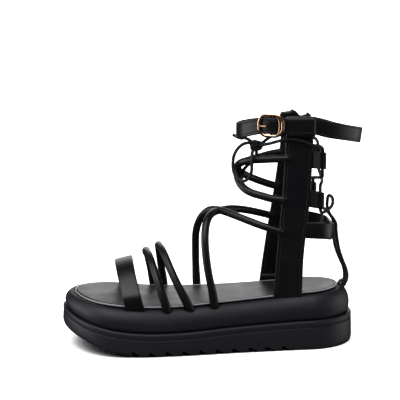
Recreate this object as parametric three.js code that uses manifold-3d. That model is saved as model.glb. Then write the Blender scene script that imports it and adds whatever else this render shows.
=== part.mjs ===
// A lace-up gladiator sandal for a left foot, on a ridged flatform sole.
// Millimetres, +Z up. The toe points to -X and the heel to +X. The outer (lateral) side, with the
// buckle, is -Y. The origin is on the floor under the middle of the insole's length.
import * as THREE from "three";
import { mergeVertices } from "three/addons/utils/BufferGeometryUtils.js";
import Module from "manifold-3d";

// ---------------------------------------------------------------- driving dimensions

const INSOLE_LENGTH = 240;
const TOE_CAP = 38; // length of the elliptical toe end of the outline
const HEEL_CAP = 28; // length of the elliptical heel end of the outline
const TOE_TUCK = 0.17; // share by which the sole's rims stand out less at the toe
const OUTLINE_POINTS = 56;
const GAP = 0.3; // room between separate pieces

// The last, section by section: half-widths of the insole on either side of the centre line.
const LAST = [
  { x: -120, outer: 36.2, inner: 39.4 },
  { x: -95, outer: 41.3, inner: 42.3 },
  { x: -60, outer: 42.9, inner: 39.9 },
  { x: -20, outer: 40.0, inner: 33.6 },
  { x: 20, outer: 34.6, inner: 27.8 },
  { x: 60, outer: 30.5, inner: 25.6 },
  { x: 95, outer: 27.6, inner: 26.0 },
  { x: 120, outer: 25.3, inner: 27.3 },
];

// Side profile of the sole: deck is the insole's top, seam the line where the cover meets the
// outsole, tread the underside before the lugs are cut.
const PROFILE = [
  { x: -132, deck: 51.5, seam: 37.0, tread: 19.5 },
  { x: -118, deck: 50.0, seam: 31.9, tread: 14.6 },
  { x: -100, deck: 47.3, seam: 27.2, tread: 8.6 },
  { x: -80, deck: 44.9, seam: 23.4, tread: 3.2 },
  { x: -58, deck: 43.3, seam: 21.3, tread: 0 },
  { x: -40, deck: 43.0, seam: 20.9, tread: 0 },
  { x: -20, deck: 43.5, seam: 21.3, tread: 0 },
  { x: 20, deck: 45.9, seam: 23.7, tread: 0 },
  { x: 60, deck: 48.7, seam: 25.6, tread: 0 },
  { x: 95, deck: 51.2, seam: 26.6, tread: 0 },
  { x: 136, deck: 52.8, seam: 27.2, tread: 0 },
];

const INSOLE_THICKNESS = 2.7;
const COVER_BULGE = 11.4; // how far the padded cover stands out from the insole's edge
const COVER_RIM = 1.3; // depth of the cover's inner rim below the insole's top
const COVER_INNER = 1.5; // how far the shoulder's inner end lies from the insole's edge
const COVER_WIDEST = 0.34; // share of its height at which the cover stands out furthest
const COVER_ROUND = 1.12; // above 1 flattens the curve of the cover's shoulder
const LUG_PITCH = 15;
const LUG_COUNT = 10;
const LUG_DEPTH = 5;
const LUG_SLOT = 9.4; // length of a notch at the tread
const FIRST_LUG = -70.5; // steep face of the foremost notch

const TUBE = 7; // diameter of the round straps
const TOE_STRAP = { width: 16.2, thickness: 2.4 };
const HEEL_BAND = { width: 14.8, thickness: 2.4 };
const ANKLE_STRAP = { width: 14.2, thickness: 2 };
const PANEL_THICKNESS = 2.8;
const SLEEVE_WALL = 1;
const LACE = 3; // diameter of the lace
const LACE_HOLE = 4.4;

// ---------------------------------------------------------------- materials

const paint = (colour, roughness, metalness = 0) =>
  new THREE.MeshStandardMaterial({ color: colour, roughness, metalness });
const RUBBER = paint("#232426", 0.7);
const LEATHER = paint("#1b1b1d", 0.42);
const LINING = paint("#2a2a2c", 0.5);
const CORD = paint("#1d1d20", 0.5);
const GOLD = paint("#e2b99a", 0.22, 1);

// ---------------------------------------------------------------- solids

const wasm = await Module();
wasm.setup();

// A closed BufferGeometry as a manifold-3d solid.
function toSolid(geometry) {
  const bare = geometry.clone();
  bare.deleteAttribute("normal");
  bare.deleteAttribute("uv");
  const merged = mergeVertices(bare, 1e-4);
  return new wasm.Manifold(
    new wasm.Mesh({
      numProp: 3,
      vertProperties: Float32Array.from(merged.attributes.position.array),
      triVerts: Uint32Array.from(merged.index.array),
    }),
  );
}

// A manifold-3d solid as a BufferGeometry.
function toGeometry(solid) {
  const { vertProperties, triVerts, numProp } = solid.getMesh();
  const position = [];
  for (let i = 0; i < vertProperties.length; i += numProp) {
    position.push(vertProperties[i], vertProperties[i + 1], vertProperties[i + 2]);
  }
  const geometry = new THREE.BufferGeometry();
  geometry.setAttribute("position", new THREE.Float32BufferAttribute(position, 3));
  geometry.setIndex(Array.from(triVerts));
  geometry.computeVertexNormals();
  return geometry;
}

// Rings of equally many points, joined in order; caps gives the triangles that close the ends.
function loft(rings, caps) {
  const count = rings[0].length;
  const position = rings.flat().flatMap((p) => [p.x, p.y, p.z]);
  const index = [];
  for (let r = 0; r + 1 < rings.length; r++) {
    for (let i = 0; i < count; i++) {
      const a = r * count + i;
      const b = r * count + ((i + 1) % count);
      index.push(a, b, b + count, a, b + count, a + count);
    }
  }
  const last = (rings.length - 1) * count;
  for (const [a, b, c] of caps(count)) {
    index.push(a, c, b);
    index.push(last + a, last + b, last + c);
  }
  const geometry = new THREE.BufferGeometry();
  geometry.setAttribute("position", new THREE.Float32BufferAttribute(position, 3));
  geometry.setIndex(index);
  geometry.computeVertexNormals();
  return geometry;
}

// A cap whose triangles run across the sole, so that it bends only along its length.
function ladder(count) {
  const triangles = [[0, 1, count - 1]];
  for (let i = 1; i < count / 2 - 1; i++) {
    const far = count - i;
    triangles.push([i, i + 1, far - 1], [i, far - 1, far]);
  }
  triangles.push([count / 2 - 1, count / 2, count / 2 + 1]);
  return triangles;
}

// A cap for a small convex section.
function fan(count) {
  return Array.from({ length: count - 2 }, (_, i) => [0, i + 1, i + 2]);
}

const point = ([x, y, z]) => new THREE.Vector3(x, y, z);

function mesh(name, geometry, material) {
  const made = new THREE.Mesh(geometry, material);
  made.name = name;
  return made;
}

// ---------------------------------------------------------------- the last

// One column of a table as a smooth function of x, straight beyond its ends.
function column(table, key) {
  const slope = (i) => {
    const a = table[Math.max(i - 1, 0)];
    const b = table[Math.min(i + 1, table.length - 1)];
    return (b[key] - a[key]) / (b.x - a.x);
  };
  return (x) => {
    let i = 0;
    while (i < table.length - 2 && x > table[i + 1].x) i++;
    const a = table[i];
    const b = table[i + 1];
    if (x < a.x) return a[key] + slope(i) * (x - a.x);
    if (x > b.x) return b[key] + slope(i + 1) * (x - b.x);
    const h = b.x - a.x;
    const t = (x - a.x) / h;
    const u = 1 - t;
    return (
      a[key] * (1 + 2 * t) * u * u +
      b[key] * t * t * (3 - 2 * t) +
      h * u * t * (slope(i) * u - slope(i + 1) * t)
    );
  };
}

const outerWidth = column(LAST, "outer");
const innerWidth = column(LAST, "inner");
const deck = column(PROFILE, "deck");
const seam = column(PROFILE, "seam");
const tread = column(PROFILE, "tread");

// Half-width factor of the elliptical toe and heel ends.
function endFactor(x) {
  const toe = (-INSOLE_LENGTH / 2 + TOE_CAP - x) / TOE_CAP;
  const heel = (x - INSOLE_LENGTH / 2 + HEEL_CAP) / HEEL_CAP;
  return Math.sqrt(Math.max(0, 1 - Math.max(toe, heel, 0) ** 2));
}

// A point of the insole's edge; the angle runs from the toe along the outer side and back.
function edgePoint(angle) {
  const x = (-INSOLE_LENGTH / 2) * Math.cos(angle);
  const middle = (innerWidth(x) - outerWidth(x)) / 2;
  const half = (innerWidth(x) + outerWidth(x)) / 2;
  const side = Math.sin(angle) < 0 ? 1 : -1;
  return new THREE.Vector2(x, middle + side * half * endFactor(x));
}

// The insole's outline moved outwards by grow, a little less at the toe.
function outline(grow) {
  const step = (2 * Math.PI) / OUTLINE_POINTS;
  return Array.from({ length: OUTLINE_POINTS }, (_, i) => {
    const here = edgePoint(i * step);
    const along = edgePoint((i + 0.5) * step).sub(edgePoint((i - 0.5) * step)).normalize();
    const toward = Math.max(0, -here.x / (INSOLE_LENGTH / 2));
    const out = grow * (1 - TOE_TUCK * toward ** 6);
    return new THREE.Vector2(here.x + along.y * out, here.y - along.x * out);
  });
}

// Rings of a sole layer from the bottom up; each row gives the grow and the height as f(x).
function layer(rows) {
  const rings = rows.map(({ grow, height }) =>
    outline(grow).map((p) => new THREE.Vector3(p.x, p.y, height(p.x))),
  );
  return loft(rings, ladder);
}

// ---------------------------------------------------------------- sole

function outsole() {
  const body = layer([
    { grow: 11.2, height: tread },
    { grow: 13.2, height: (x) => tread(x) + 1 },
    { grow: 14.2, height: (x) => tread(x) + 4 },
    { grow: 13.6, height: (x) => seam(x) - 6.2 },
    { grow: 12.8, height: (x) => seam(x) - 5.6 },
    { grow: 13.5, height: (x) => seam(x) - 5 },
    { grow: 13.2, height: (x) => seam(x) - 1.4 },
    { grow: 11.8, height: seam },
  ]);
  // Each notch is steep towards the toe, with a long slope towards the heel.
  const reach = 80;
  const below = 5;
  let solid = toSolid(body);
  for (let i = 0; i < LUG_COUNT; i++) {
    const steep = FIRST_LUG + i * LUG_PITCH;
    const floor = tread(steep + LUG_SLOT / 2);
    const notch = new THREE.Shape([
      new THREE.Vector2(steep, floor - below),
      new THREE.Vector2(steep + LUG_SLOT, floor - below),
      new THREE.Vector2(steep + LUG_SLOT, tread(steep + LUG_SLOT)),
      new THREE.Vector2(steep + 0.8, floor + LUG_DEPTH),
      new THREE.Vector2(steep, floor + LUG_DEPTH),
    ]);
    const bar = new THREE.ExtrudeGeometry(notch, { depth: 2 * reach, bevelEnabled: false });
    bar.rotateX(Math.PI / 2);
    bar.translate(0, reach, 0);
    solid = solid.subtract(toSolid(bar));
  }
  return toGeometry(solid);
}

// The padded cover round the platform, with a shallow bed for the insole. Margin moves its
// surface out, to trim what stands on it.
function cover(margin = 0) {
  const low = (x) => seam(x) + GAP - margin;
  const rim = (x) => deck(x) - COVER_RIM + margin;
  const bed = (x) => deck(x) - INSOLE_THICKNESS - GAP + margin;
  const widest = (x) => seam(x) + COVER_WIDEST * (deck(x) - seam(x));
  // The shoulder is a soft quarter curve from the widest line up to the rim.
  const shoulder = [0, 0.3, 0.56, 0.78, 1].map((turn) => {
    const angle = (turn * Math.PI) / 2;
    const rise = Math.sin(angle) ** COVER_ROUND;
    const out = (COVER_BULGE - COVER_INNER) * Math.cos(angle) ** COVER_ROUND;
    return {
      grow: margin + COVER_INNER + out,
      height: (x) => widest(x) + (rim(x) - widest(x)) * rise,
    };
  });
  return layer([
    { grow: 9.8 + margin, height: low },
    { grow: 10.8 + margin, height: (x) => low(x) + 2.4 },
    ...shoulder,
    { grow: 2 * GAP - margin, height: (x) => rim(x) - 0.5 },
    { grow: 1.5 * GAP - margin, height: bed },
  ]);
}

function insole() {
  const under = (x) => deck(x) - INSOLE_THICKNESS;
  return layer([
    { grow: -0.3, height: under },
    { grow: 0, height: (x) => under(x) + 0.5 },
    { grow: 0, height: (x) => deck(x) - 0.6 },
    { grow: -0.7, height: deck },
  ]);
}

// ---------------------------------------------------------------- strap tools

// A flat strap's section: width across, thickness out, edges eased.
function flatSection({ width, thickness }, ease = 0.5) {
  const w = width / 2;
  const t = thickness / 2;
  return [
    [-w + ease, -t],
    [w - ease, -t],
    [w, -t + ease],
    [w, t - ease],
    [w - ease, t],
    [-w + ease, t],
    [-w, t - ease],
    [-w, -t + ease],
  ];
}

// A section swept through places; side gives the width direction as f(share of the way).
function sweepFlat(places, side, section) {
  const rings = places.map((at, i) => {
    const before = places[Math.max(i - 1, 0)];
    const after = places[Math.min(i + 1, places.length - 1)];
    const along = after.clone().sub(before).normalize();
    const across = side(i / (places.length - 1));
    across.addScaledVector(along, -across.dot(along)).normalize();
    const out = new THREE.Vector3().crossVectors(along, across);
    return section.map(([u, v]) =>
      at.clone().addScaledVector(across, u).addScaledVector(out, v),
    );
  });
  return loft(rings, fan);
}

const curve = (points) => new THREE.CatmullRomCurve3(points, false, "centripetal");

// A round strap or cord: a many-sided section extruded along a smooth path.
function tube(points, diameter, steps, sides) {
  const corners = Array.from({ length: sides }, (_, i) => {
    const angle = (2 * Math.PI * (i + 0.5)) / sides;
    return new THREE.Vector2(Math.cos(angle), Math.sin(angle)).multiplyScalar(diameter / 2);
  });
  return new THREE.ExtrudeGeometry(new THREE.Shape(corners), {
    steps,
    extrudePath: curve(points),
    bevelEnabled: false,
  });
}

// An arch over the foot, from the near foot over the top to the far foot. Fullness below 1
// squares its shoulders; lean above 1 keeps its feet upright and tips it near the top.
function arch({ near, top, far, lean = 1 }, steps, fullness = 0.86) {
  const [topX, topZ] = top;
  const middle = (near[1] + far[1]) / 2;
  const half = (far[1] - near[1]) / 2;
  return Array.from({ length: steps + 1 }, (_, i) => {
    const angle = (Math.PI * i) / steps;
    const across = -Math.cos(angle);
    const foot = across < 0 ? near : far;
    const rise = Math.sin(angle) ** fullness;
    return new THREE.Vector3(
      foot[0] + (topX - foot[0]) * rise ** lean,
      middle + half * Math.sign(across) * Math.abs(across) ** fullness,
      foot[2] + (topZ - foot[2]) * rise,
    );
  });
}

const trimmer = toSolid(cover(GAP));

// ---------------------------------------------------------------- straps over the foot

function toeStrap() {
  const places = arch({ near: [-65.4, -47, 35.4], top: [-76, 76.6], far: [-69.8, 44.4, 37] }, 16);
  const side = (share) => new THREE.Vector3(1, 0, 0.25 * Math.sin(Math.PI * share));
  return toGeometry(toSolid(sweepFlat(places, side, flatSection(TOE_STRAP))).subtract(trimmer));
}

// The two round straps over the forefoot.
const FOREFOOT = [
  {
    name: "forefoot_strap_front",
    near: [-37.4, -46.2, 33.8],
    top: [-55.5, 83.7],
    far: [-46.4, 43.6, 35.8],
    lean: 1.3,
  },
  {
    name: "forefoot_strap_rear",
    near: [-14.8, -44, 33.8],
    top: [-43.9, 89],
    far: [-36.8, 40.8, 35.8],
    lean: 1.05,
  },
];

function forefootStrap(row) {
  return toGeometry(toSolid(tube(arch(row, 12), TUBE, 22, 10)).subtract(trimmer));
}

// The crossing straps over the instep, each from the sole on one side to the panel on the other.
const INSTEP_OVER = [
  [-6.2, 37.5, 35],
  [-7.4, 36.8, 57],
  [-8, 34, 79],
  [-8, 28.4, 95],
  [-5.8, 21.2, 106.6],
  [-2, 13.4, 115],
  [3.2, 5.8, 120.6],
  [9, -1.4, 122.2],
  [16.4, -8.4, 121.2],
  [25.4, -16, 119],
  [34.9, -22.5, 116.1],
  [42.8, -26.5, 113.6],
  [50.8, -29.2, 111.1],
  [61.3, -30.8, 107.9],
];
const INSTEP_UNDER = [
  [4.6, -41.3, 35],
  [2.4, -41.4, 53],
  [-1.5, -40.4, 72.6],
  [-3.7, -38, 89.8],
  [-4.2, -34.4, 103],
  [-3, -28.6, 112.8],
  [-0.2, -21.2, 118.6],
  [4, -13, 121.2],
  [9.8, -3.4, 121.4],
  [21.6, 9.6, 120.6],
  [33, 17.5, 118.4],
  [44.2, 23, 115.4],
  [54.6, 26.8, 112.2],
  [59.2, 28.4, 110.7],
];

// The crossing straps round the front of the ankle, between the two panels.
const ANKLE_FRONT_HIGH = [
  [66.2, -30.2, 173.2],
  [55.8, -28.4, 172.6],
  [47.2, -26, 171.9],
  [38.8, -21, 170.7],
  [32.2, -15, 168.4],
  [28.4, -8, 165],
  [27.8, 0, 160.4],
  [30.9, 8, 155.3],
  [39.1, 16, 149.6],
  [48.9, 22, 144.7],
  [58, 26, 140.8],
  [63.7, 28.1, 138.8],
];
const ANKLE_FRONT_LOW = [
  [64.2, -30.2, 136.2],
  [56, -29.4, 137],
  [47.2, -27.6, 139.2],
  [38.6, -24, 141.4],
  [32.2, -19, 144.6],
  [28.3, -13, 149.2],
  [26.8, -6, 154.8],
  [26.9, 1, 160],
  [30.9, 8, 163.1],
  [40.8, 16, 164.9],
  [52.6, 23, 166.8],
  [61.2, 26.8, 168.3],
  [67.2, 28.4, 169],
];

// Two round straps joined where they cross.
function crossed(first, second, steps) {
  const over = toSolid(tube(first.map(point), TUBE, steps, 10));
  const under = toSolid(tube(second.map(point), TUBE, steps, 10));
  return toGeometry(over.add(under).subtract(trimmer));
}

// ---------------------------------------------------------------- side panels

// Each upright panel from the sole to its top: centre and width at each height.
const PANEL_OUTER = [
  { x: 70, y: -32.8, z: 38, width: 26.4 },
  { x: 71.2, y: -32.4, z: 60, width: 25.4 },
  { x: 72.4, y: -32, z: 82, width: 24.6 },
  { x: 73.9, y: -31.6, z: 100, width: 24.8 },
  { x: 77.6, y: -30.8, z: 140, width: 25.2 },
  { x: 79.9, y: -30.6, z: 188, width: 24.8 },
  { x: 80.6, y: -30.6, z: 210, width: 24.8 },
];
const PANEL_INNER = [
  { x: 63.6, y: 29.4, z: 38, width: 26.4 },
  { x: 66.2, y: 29.2, z: 60, width: 26.2 },
  { x: 71.6, y: 29, z: 100, width: 25.8 },
  { x: 77.4, y: 28.8, z: 140, width: 24.8 },
  { x: 83.2, y: 28.8, z: 188, width: 24.4 },
  { x: 84.2, y: 28.8, z: 203, width: 24.4 },
];

// The sleeve at each panel's top, open to front and back, for the ankle strap: two layers of
// strap pass the outer one.
const SLEEVE_OUTER = { bottom: 193.7, top: 210.9, room: 5 };
const SLEEVE_INNER = { bottom: 186.8, top: 204.4, room: 2.7 };

function panelSolid(rows) {
  const rings = rows.map(({ x, y, z, width }) =>
    flatSection({ width, thickness: PANEL_THICKNESS }, 0.6).map(
      ([u, v]) => new THREE.Vector3(x + u, y + v, z),
    ),
  );
  return toSolid(loft(rings, fan));
}

function sleeveSolid(rows, { bottom, top, room }) {
  const { x, y, width } = rows[rows.length - 1];
  const depth = PANEL_THICKNESS + room + SLEEVE_WALL;
  const ease = 0.7;
  const frame = new THREE.Shape([
    new THREE.Vector2(0, bottom + ease),
    new THREE.Vector2(ease, bottom),
    new THREE.Vector2(depth - ease, bottom),
    new THREE.Vector2(depth, bottom + ease),
    new THREE.Vector2(depth, top - ease),
    new THREE.Vector2(depth - ease, top),
    new THREE.Vector2(ease, top),
    new THREE.Vector2(0, top - ease),
  ]);
  frame.holes.push(
    new THREE.Path([
      new THREE.Vector2(PANEL_THICKNESS, bottom + SLEEVE_WALL),
      new THREE.Vector2(PANEL_THICKNESS, top - SLEEVE_WALL),
      new THREE.Vector2(PANEL_THICKNESS + room, top - SLEEVE_WALL),
      new THREE.Vector2(PANEL_THICKNESS + room, bottom + SLEEVE_WALL),
    ]),
  );
  const sleeve = new THREE.ExtrudeGeometry(frame, { depth: width, bevelEnabled: false });
  // Stand the section up across the shoe, its depth running out from the panel's inner face.
  sleeve.rotateX(Math.PI / 2);
  sleeve.rotateZ(y < 0 ? -Math.PI / 2 : Math.PI / 2);
  const inside = y - Math.sign(y) * (PANEL_THICKNESS / 2);
  sleeve.translate(y < 0 ? x + width / 2 : x - width / 2, inside, 0);
  return toSolid(sleeve);
}

function sidePanel(rows, sleeve) {
  return toGeometry(panelSolid(rows).add(sleeveSolid(rows, sleeve)).subtract(trimmer));
}

// ---------------------------------------------------------------- heel band and lace tabs

const BAND_ROUTE = [
  [87.5, -31, 108],
  [98, -29.6, 107],
  [105.6, -26, 105.9],
  [110.8, -19.6, 104],
  [113, -11, 102.4],
  [113.6, -2, 101.6],
  [113.5, 8, 101.6],
  [113, 17, 102.2],
  [110.6, 23.8, 103.2],
  [105, 27.8, 104.4],
  [97, 29.2, 106],
  [86.1, 29.3, 107.6],
];

function heelBand() {
  const places = curve(BAND_ROUTE.map(point)).getSpacedPoints(18);
  const side = (share) => new THREE.Vector3(0.1 * Math.sin(Math.PI * share), 0, 1);
  return sweepFlat(places, side, flatSection(HEEL_BAND));
}

// Folded tabs on the panels' rear edges: at is the front end's middle, turn the heading in
// degrees from straight back, drop how far the rear end hangs lower.
const TABS = [
  { name: "lace_tab_outer_lower", at: [90.9, -30.7, 136.6], turn: 28, height: 15.6, drop: 3.4 },
  { name: "lace_tab_outer_upper", at: [92.8, -30.8, 171.6], turn: 33, height: 15.2, drop: 2 },
  { name: "lace_tab_inner_lower", at: [91, 28.9, 136.6], turn: -28, height: 15.6, drop: 3.4 },
  { name: "lace_tab_inner_upper", at: [94.6, 28.8, 170.2], turn: -12, height: 15.2, drop: 2 },
];
const TAB_LENGTH = 14;
const TAB_THICKNESS = 2.6;

function laceTab({ at, turn, height, drop }) {
  const eye = LACE_HOLE / 2;
  const round = eye + TAB_THICKNESS / 2;
  const centre = TAB_LENGTH - round;
  const neck = Math.asin(TAB_THICKNESS / 2 / round);
  const outlinePoints = [
    new THREE.Vector2(0, TAB_THICKNESS / 2),
    new THREE.Vector2(0, -TAB_THICKNESS / 2),
  ];
  const sides = 12;
  for (let i = 0; i <= sides; i++) {
    const angle = -Math.PI + neck + ((2 * Math.PI - 2 * neck) * i) / sides;
    outlinePoints.push(
      new THREE.Vector2(centre + round * Math.cos(angle), round * Math.sin(angle)),
    );
  }
  const shape = new THREE.Shape(outlinePoints);
  const hole = Array.from({ length: sides }, (_, i) => {
    const angle = (-2 * Math.PI * i) / sides;
    return new THREE.Vector2(centre + eye * Math.cos(angle), eye * Math.sin(angle));
  });
  shape.holes.push(new THREE.Path(hole));
  const tab = new THREE.ExtrudeGeometry(shape, { depth: height, bevelEnabled: false });
  const fall = new THREE.Matrix4().makeShear(0, -drop / TAB_LENGTH, 0, 0, 0, 0);
  tab.translate(0, 0, -height / 2);
  tab.applyMatrix4(fall);
  tab.rotateZ(THREE.MathUtils.degToRad(turn));
  tab.translate(...at);
  return tab;
}

// ---------------------------------------------------------------- ankle strap and buckle

// The strap's centre line: from its free end in the outer sleeve, forward over the buckle's
// bar, round the front, back through the inner sleeve, round the heel and forward again
// through the outer sleeve to the bar.
const HEEL_SHARE = 0.69; // where the strap's length passes behind the heel
const ANKLE_ROUTE = [
  [86, -35.65, 202.3],
  [76, -35.65, 202.3],
  [67, -35.7, 202.8],
  [62.6, -35.45, 202.9],
  [58.6, -35.7, 202.9],
  [54, -35.2, 202.9],
  [49, -32.2, 202.7],
  [45.2, -28.8, 202.2],
  [41.8, -26, 201.2],
  [36, -20.4, 199.2],
  [30.2, -12, 196.6],
  [27.2, 0, 194.8],
  [30.6, 12, 194.4],
  [39, 21.4, 194.6],
  [52, 28.4, 195],
  [66, 31.5, 195.5],
  [80, 31.55, 195.6],
  [96, 31.5, 195.4],
  [106.6, 29.8, 193.7],
  [119, 25.2, 190.6],
  [130.6, 16.4, 188.9],
  [138, 5.8, 188.7],
  [138.6, -5.4, 189.9],
  [132, -16.4, 192.4],
  [123, -24, 194.8],
  [113, -29.6, 197],
  [104.6, -32.2, 198.8],
  [98.4, -33.1, 200.6],
  [93.4, -33.35, 202],
  [84, -33.35, 202.2],
  [74, -33.35, 202.3],
  [65, -33.1, 202.7],
  [57.6, -32.7, 202.7],
];
const BUCKLE = { left: [43.6, -31.1], right: [63.9, -38.2], z: 203.3, height: 18.8, wire: 2.2, corner: 5.0 };
const BAR = { inward: 2, diameter: 2, half: 9.4 };
const PRONG_DIAMETER = 1.7;
const PRONG_ROUTE = [
  [51.7, -31.7, 202.8],
  [50.9, -33.6, 202.8],
  [49.6, -35.6, 202.8],
  [46.4, -35.2, 202.8],
  [43.8, -34, 202.8],
  [42.5, -33.4, 202.8],
];
const PRONG_HOLE = 3.4;

function ankleStrap() {
  const places = curve(ANKLE_ROUTE.map(point)).getSpacedPoints(52);
  // The strap leans back a little behind the heel.
  const side = (s) => new THREE.Vector3(0.14 * Math.exp(-(((s - HEEL_SHARE) / 0.08) ** 2)), 0, 1);
  const band = toSolid(sweepFlat(places, side, flatSection(ANKLE_STRAP)));
  const pin = tube([point([52.4, -30.6, 202.8]), point([49.2, -36.6, 202.8])], PRONG_HOLE, 1, 8);
  return toGeometry(band.subtract(toSolid(pin)));
}

// A rounded rectangular ring of round wire, with a straight bar a little behind its plane.
function buckleFrame() {
  const [leftX, leftY] = BUCKLE.left;
  const [rightX, rightY] = BUCKLE.right;
  const { corner } = BUCKLE;
  const half = Math.hypot(rightX - leftX, rightY - leftY) / 2;
  const tall = BUCKLE.height / 2;
  const stations = [];
  for (let quarter = 0; quarter < 4; quarter++) {
    for (const share of [0, 1 / 3, 2 / 3, 1]) {
      const angle = ((quarter + share) * Math.PI) / 2;
      const cx = (quarter === 0 || quarter === 3 ? 1 : -1) * (half - corner);
      const cz = (quarter < 2 ? 1 : -1) * (tall - corner);
      const ring = Array.from({ length: 8 }, (_, i) => {
        const around = (2 * Math.PI * (i + 0.5)) / 8;
        const reach = corner + (BUCKLE.wire / 2) * Math.cos(around);
        return new THREE.Vector3(
          cx + reach * Math.cos(angle),
          (BUCKLE.wire / 2) * Math.sin(around),
          cz + reach * Math.sin(angle),
        );
      });
      stations.push(ring);
    }
  }
  const ring = closedLoft(stations);
  const bar = tube(
    [
      new THREE.Vector3(0, 0.2, BAR.half),
      new THREE.Vector3(0, BAR.inward, BAR.half - 1.4),
      new THREE.Vector3(0, BAR.inward, 0),
      new THREE.Vector3(0, BAR.inward, 1.4 - BAR.half),
      new THREE.Vector3(0, 0.2, -BAR.half),
    ],
    BAR.diameter,
    8,
    8,
  );
  const frame = toGeometry(toSolid(ring).add(toSolid(bar)));
  frame.rotateZ(Math.atan2(rightY - leftY, rightX - leftX));
  frame.translate((leftX + rightX) / 2, (leftY + rightY) / 2, BUCKLE.z);
  return frame;
}

// Rings joined in order, the last to the first.
function closedLoft(rings) {
  const count = rings[0].length;
  const index = [];
  for (let r = 0; r < rings.length; r++) {
    const next = (r + 1) % rings.length;
    for (let i = 0; i < count; i++) {
      const j = (i + 1) % count;
      const [a, b, c, d] = [r * count + i, r * count + j, next * count + j, next * count + i];
      index.push(a, b, c, a, c, d);
    }
  }
  const geometry = new THREE.BufferGeometry();
  const position = rings.flat().flatMap((p) => [p.x, p.y, p.z]);
  geometry.setAttribute("position", new THREE.Float32BufferAttribute(position, 3));
  geometry.setIndex(index);
  return geometry;
}

// ---------------------------------------------------------------- lace

// The leather loop behind the insole that anchors the lace.
const HEEL_LOOP = { x: 125.2, z: 51.5, eye: 2.3, wall: 1.5, width: 5 };

function heelLoop() {
  const { x, z, eye, wall, width } = HEEL_LOOP;
  const circle = (radius) =>
    Array.from({ length: 14 }, (_, i) => {
      const angle = (2 * Math.PI * i) / 14;
      return new THREE.Vector2(radius * Math.cos(angle), radius * Math.sin(angle));
    });
  const shape = new THREE.Shape(circle(eye + wall));
  shape.holes.push(new THREE.Path(circle(eye)));
  const ring = new THREE.ExtrudeGeometry(shape, { depth: width, bevelEnabled: false });
  ring.rotateX(Math.PI / 2);
  ring.translate(x, width / 2, z);
  return toGeometry(toSolid(ring).subtract(trimmer));
}

// The lace's two halves, each from the heel loop up to the knot at the front of the ankle.
const LACE_OUTER = [
  [125.2, 0.6, 51.5],
  [125.4, -3.2, 51.6],
  [128, -5, 54],
  [129, -4.6, 60],
  [127.6, -4, 66.6],
  [124.9, -3.8, 73],
  [120.9, -4.6, 85],
  [118.8, -6.4, 95],
  [117.6, -8, 103],
  [117.1, -8.8, 109],
  [114.6, -9.4, 113.8],
  [111, -10.4, 118.6],
  [108.4, -11.6, 125.6],
  [108.3, -12.8, 131.6],
  [108.6, -13.8, 134.9],
  [109.7, -15.2, 136.7],
  [111.8, -16.6, 135.2],
  [112.6, -17.8, 131.2],
  [111, -19.4, 127.2],
  [107.4, -21.4, 124.6],
  [104, -23.4, 123],
  [101.6, -24.9, 122.7],
  [100.3, -25.7, 125],
  [100.2, -25.8, 129],
  [100.2, -25.8, 136],
  [99.8, -24.8, 144.2],
  [100.8, -20, 147.2],
  [103.4, -10, 148],
  [105, 0, 148.6],
  [106, 12, 149],
  [106.4, 21.6, 150.6],
  [105.4, 26, 154.6],
  [104.8, 26.6, 161],
  [104.8, 26.6, 168],
  [104.9, 26.8, 176.8],
  [103.8, 29.8, 180.6],
  [100.6, 32.8, 182.8],
  [96, 34, 184],
  [84, 33, 184.6],
  [74, 32.4, 184.8],
  [66, 30.4, 184.8],
  [60, 22, 184.6],
  [52, 5, 183],
  [46.4, -6.4, 182.4],
];
const LACE_INNER = [
  [125.2, -0.6, 51.5],
  [125.4, 3.2, 51.6],
  [127.6, 5, 54],
  [127.9, 4.6, 60],
  [126.5, 4, 66.6],
  [123.6, 3.8, 73],
  [119, 4.6, 85],
  [117.5, 6.2, 95],
  [117.2, 7.8, 102],
  [117.3, 8.8, 108.2],
  [114.8, 11, 113.4],
  [109.4, 16, 118.6],
  [103.6, 22.4, 119.8],
  [100.5, 24, 124],
  [100.3, 24, 134],
  [100.4, 23.6, 143],
  [99.6, 19, 147],
  [99.8, 9, 148.8],
  [101, -1, 150.6],
  [102.2, -12, 152.8],
  [102.4, -20.6, 155.4],
  [101.6, -24.7, 160],
  [101.6, -25.1, 170],
  [101.5, -25.6, 179.6],
  [99.2, -30.6, 183.2],
  [95.4, -34, 184],
  [88, -34.3, 187],
  [79.8, -34.2, 190],
  [72.7, -34.2, 191.3],
  [65, -33.4, 190.4],
  [60, -29.4, 188.4],
  [54.4, -23.4, 185.8],
  [46.4, -13, 182.4],
];
const KNOT = { at: [43.4, -10, 181.9], size: [12.6, 8.6, 11] };
// The bow's loop, which hangs in front of the crossing straps.
const BOW_LOOP = [
  [43, -10, 183.6],
  [40.3, -10, 184.9],
  [36.2, -10, 184.4],
  [32.6, -10.4, 183.8],
  [28.7, -11, 181.4],
  [25.4, -11.5, 177.4],
  [23.3, -11.8, 172.6],
  [22.5, -12.2, 166.4],
  [22.8, -13, 160.6],
  [24.4, -15.4, 155.7],
  [27.7, -20, 152.9],
  [31.9, -24.8, 152.5],
  [35.7, -26.6, 155.9],
  [37.7, -27.5, 161.2],
  [37.9, -27.7, 166.8],
  [37.9, -27, 172.6],
  [38.6, -23.4, 177],
  [40.8, -16.4, 179.8],
  [42.6, -12.4, 180.8],
];
// The lace's two ends, one past the strap's lower edge, one behind the crossing straps.
const END_FRONT = [
  [43.4, -9, 182.4],
  [38.8, -4, 185.6],
  [35.4, 0.8, 186.9],
  [33.9, 5.8, 186.8],
  [33.7, 10.8, 185.6],
  [32.2, 15.4, 184.8],
  [29, 18.6, 185.6],
  [25.6, 20.2, 187.4],
];
const END_REAR = [
  [44, -10, 179],
  [43.2, -11.6, 172.4],
  [39.4, -10.4, 167],
  [34.8, -7, 162],
  [32.6, -2.6, 157.4],
  [32, 0, 150.6],
];

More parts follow.
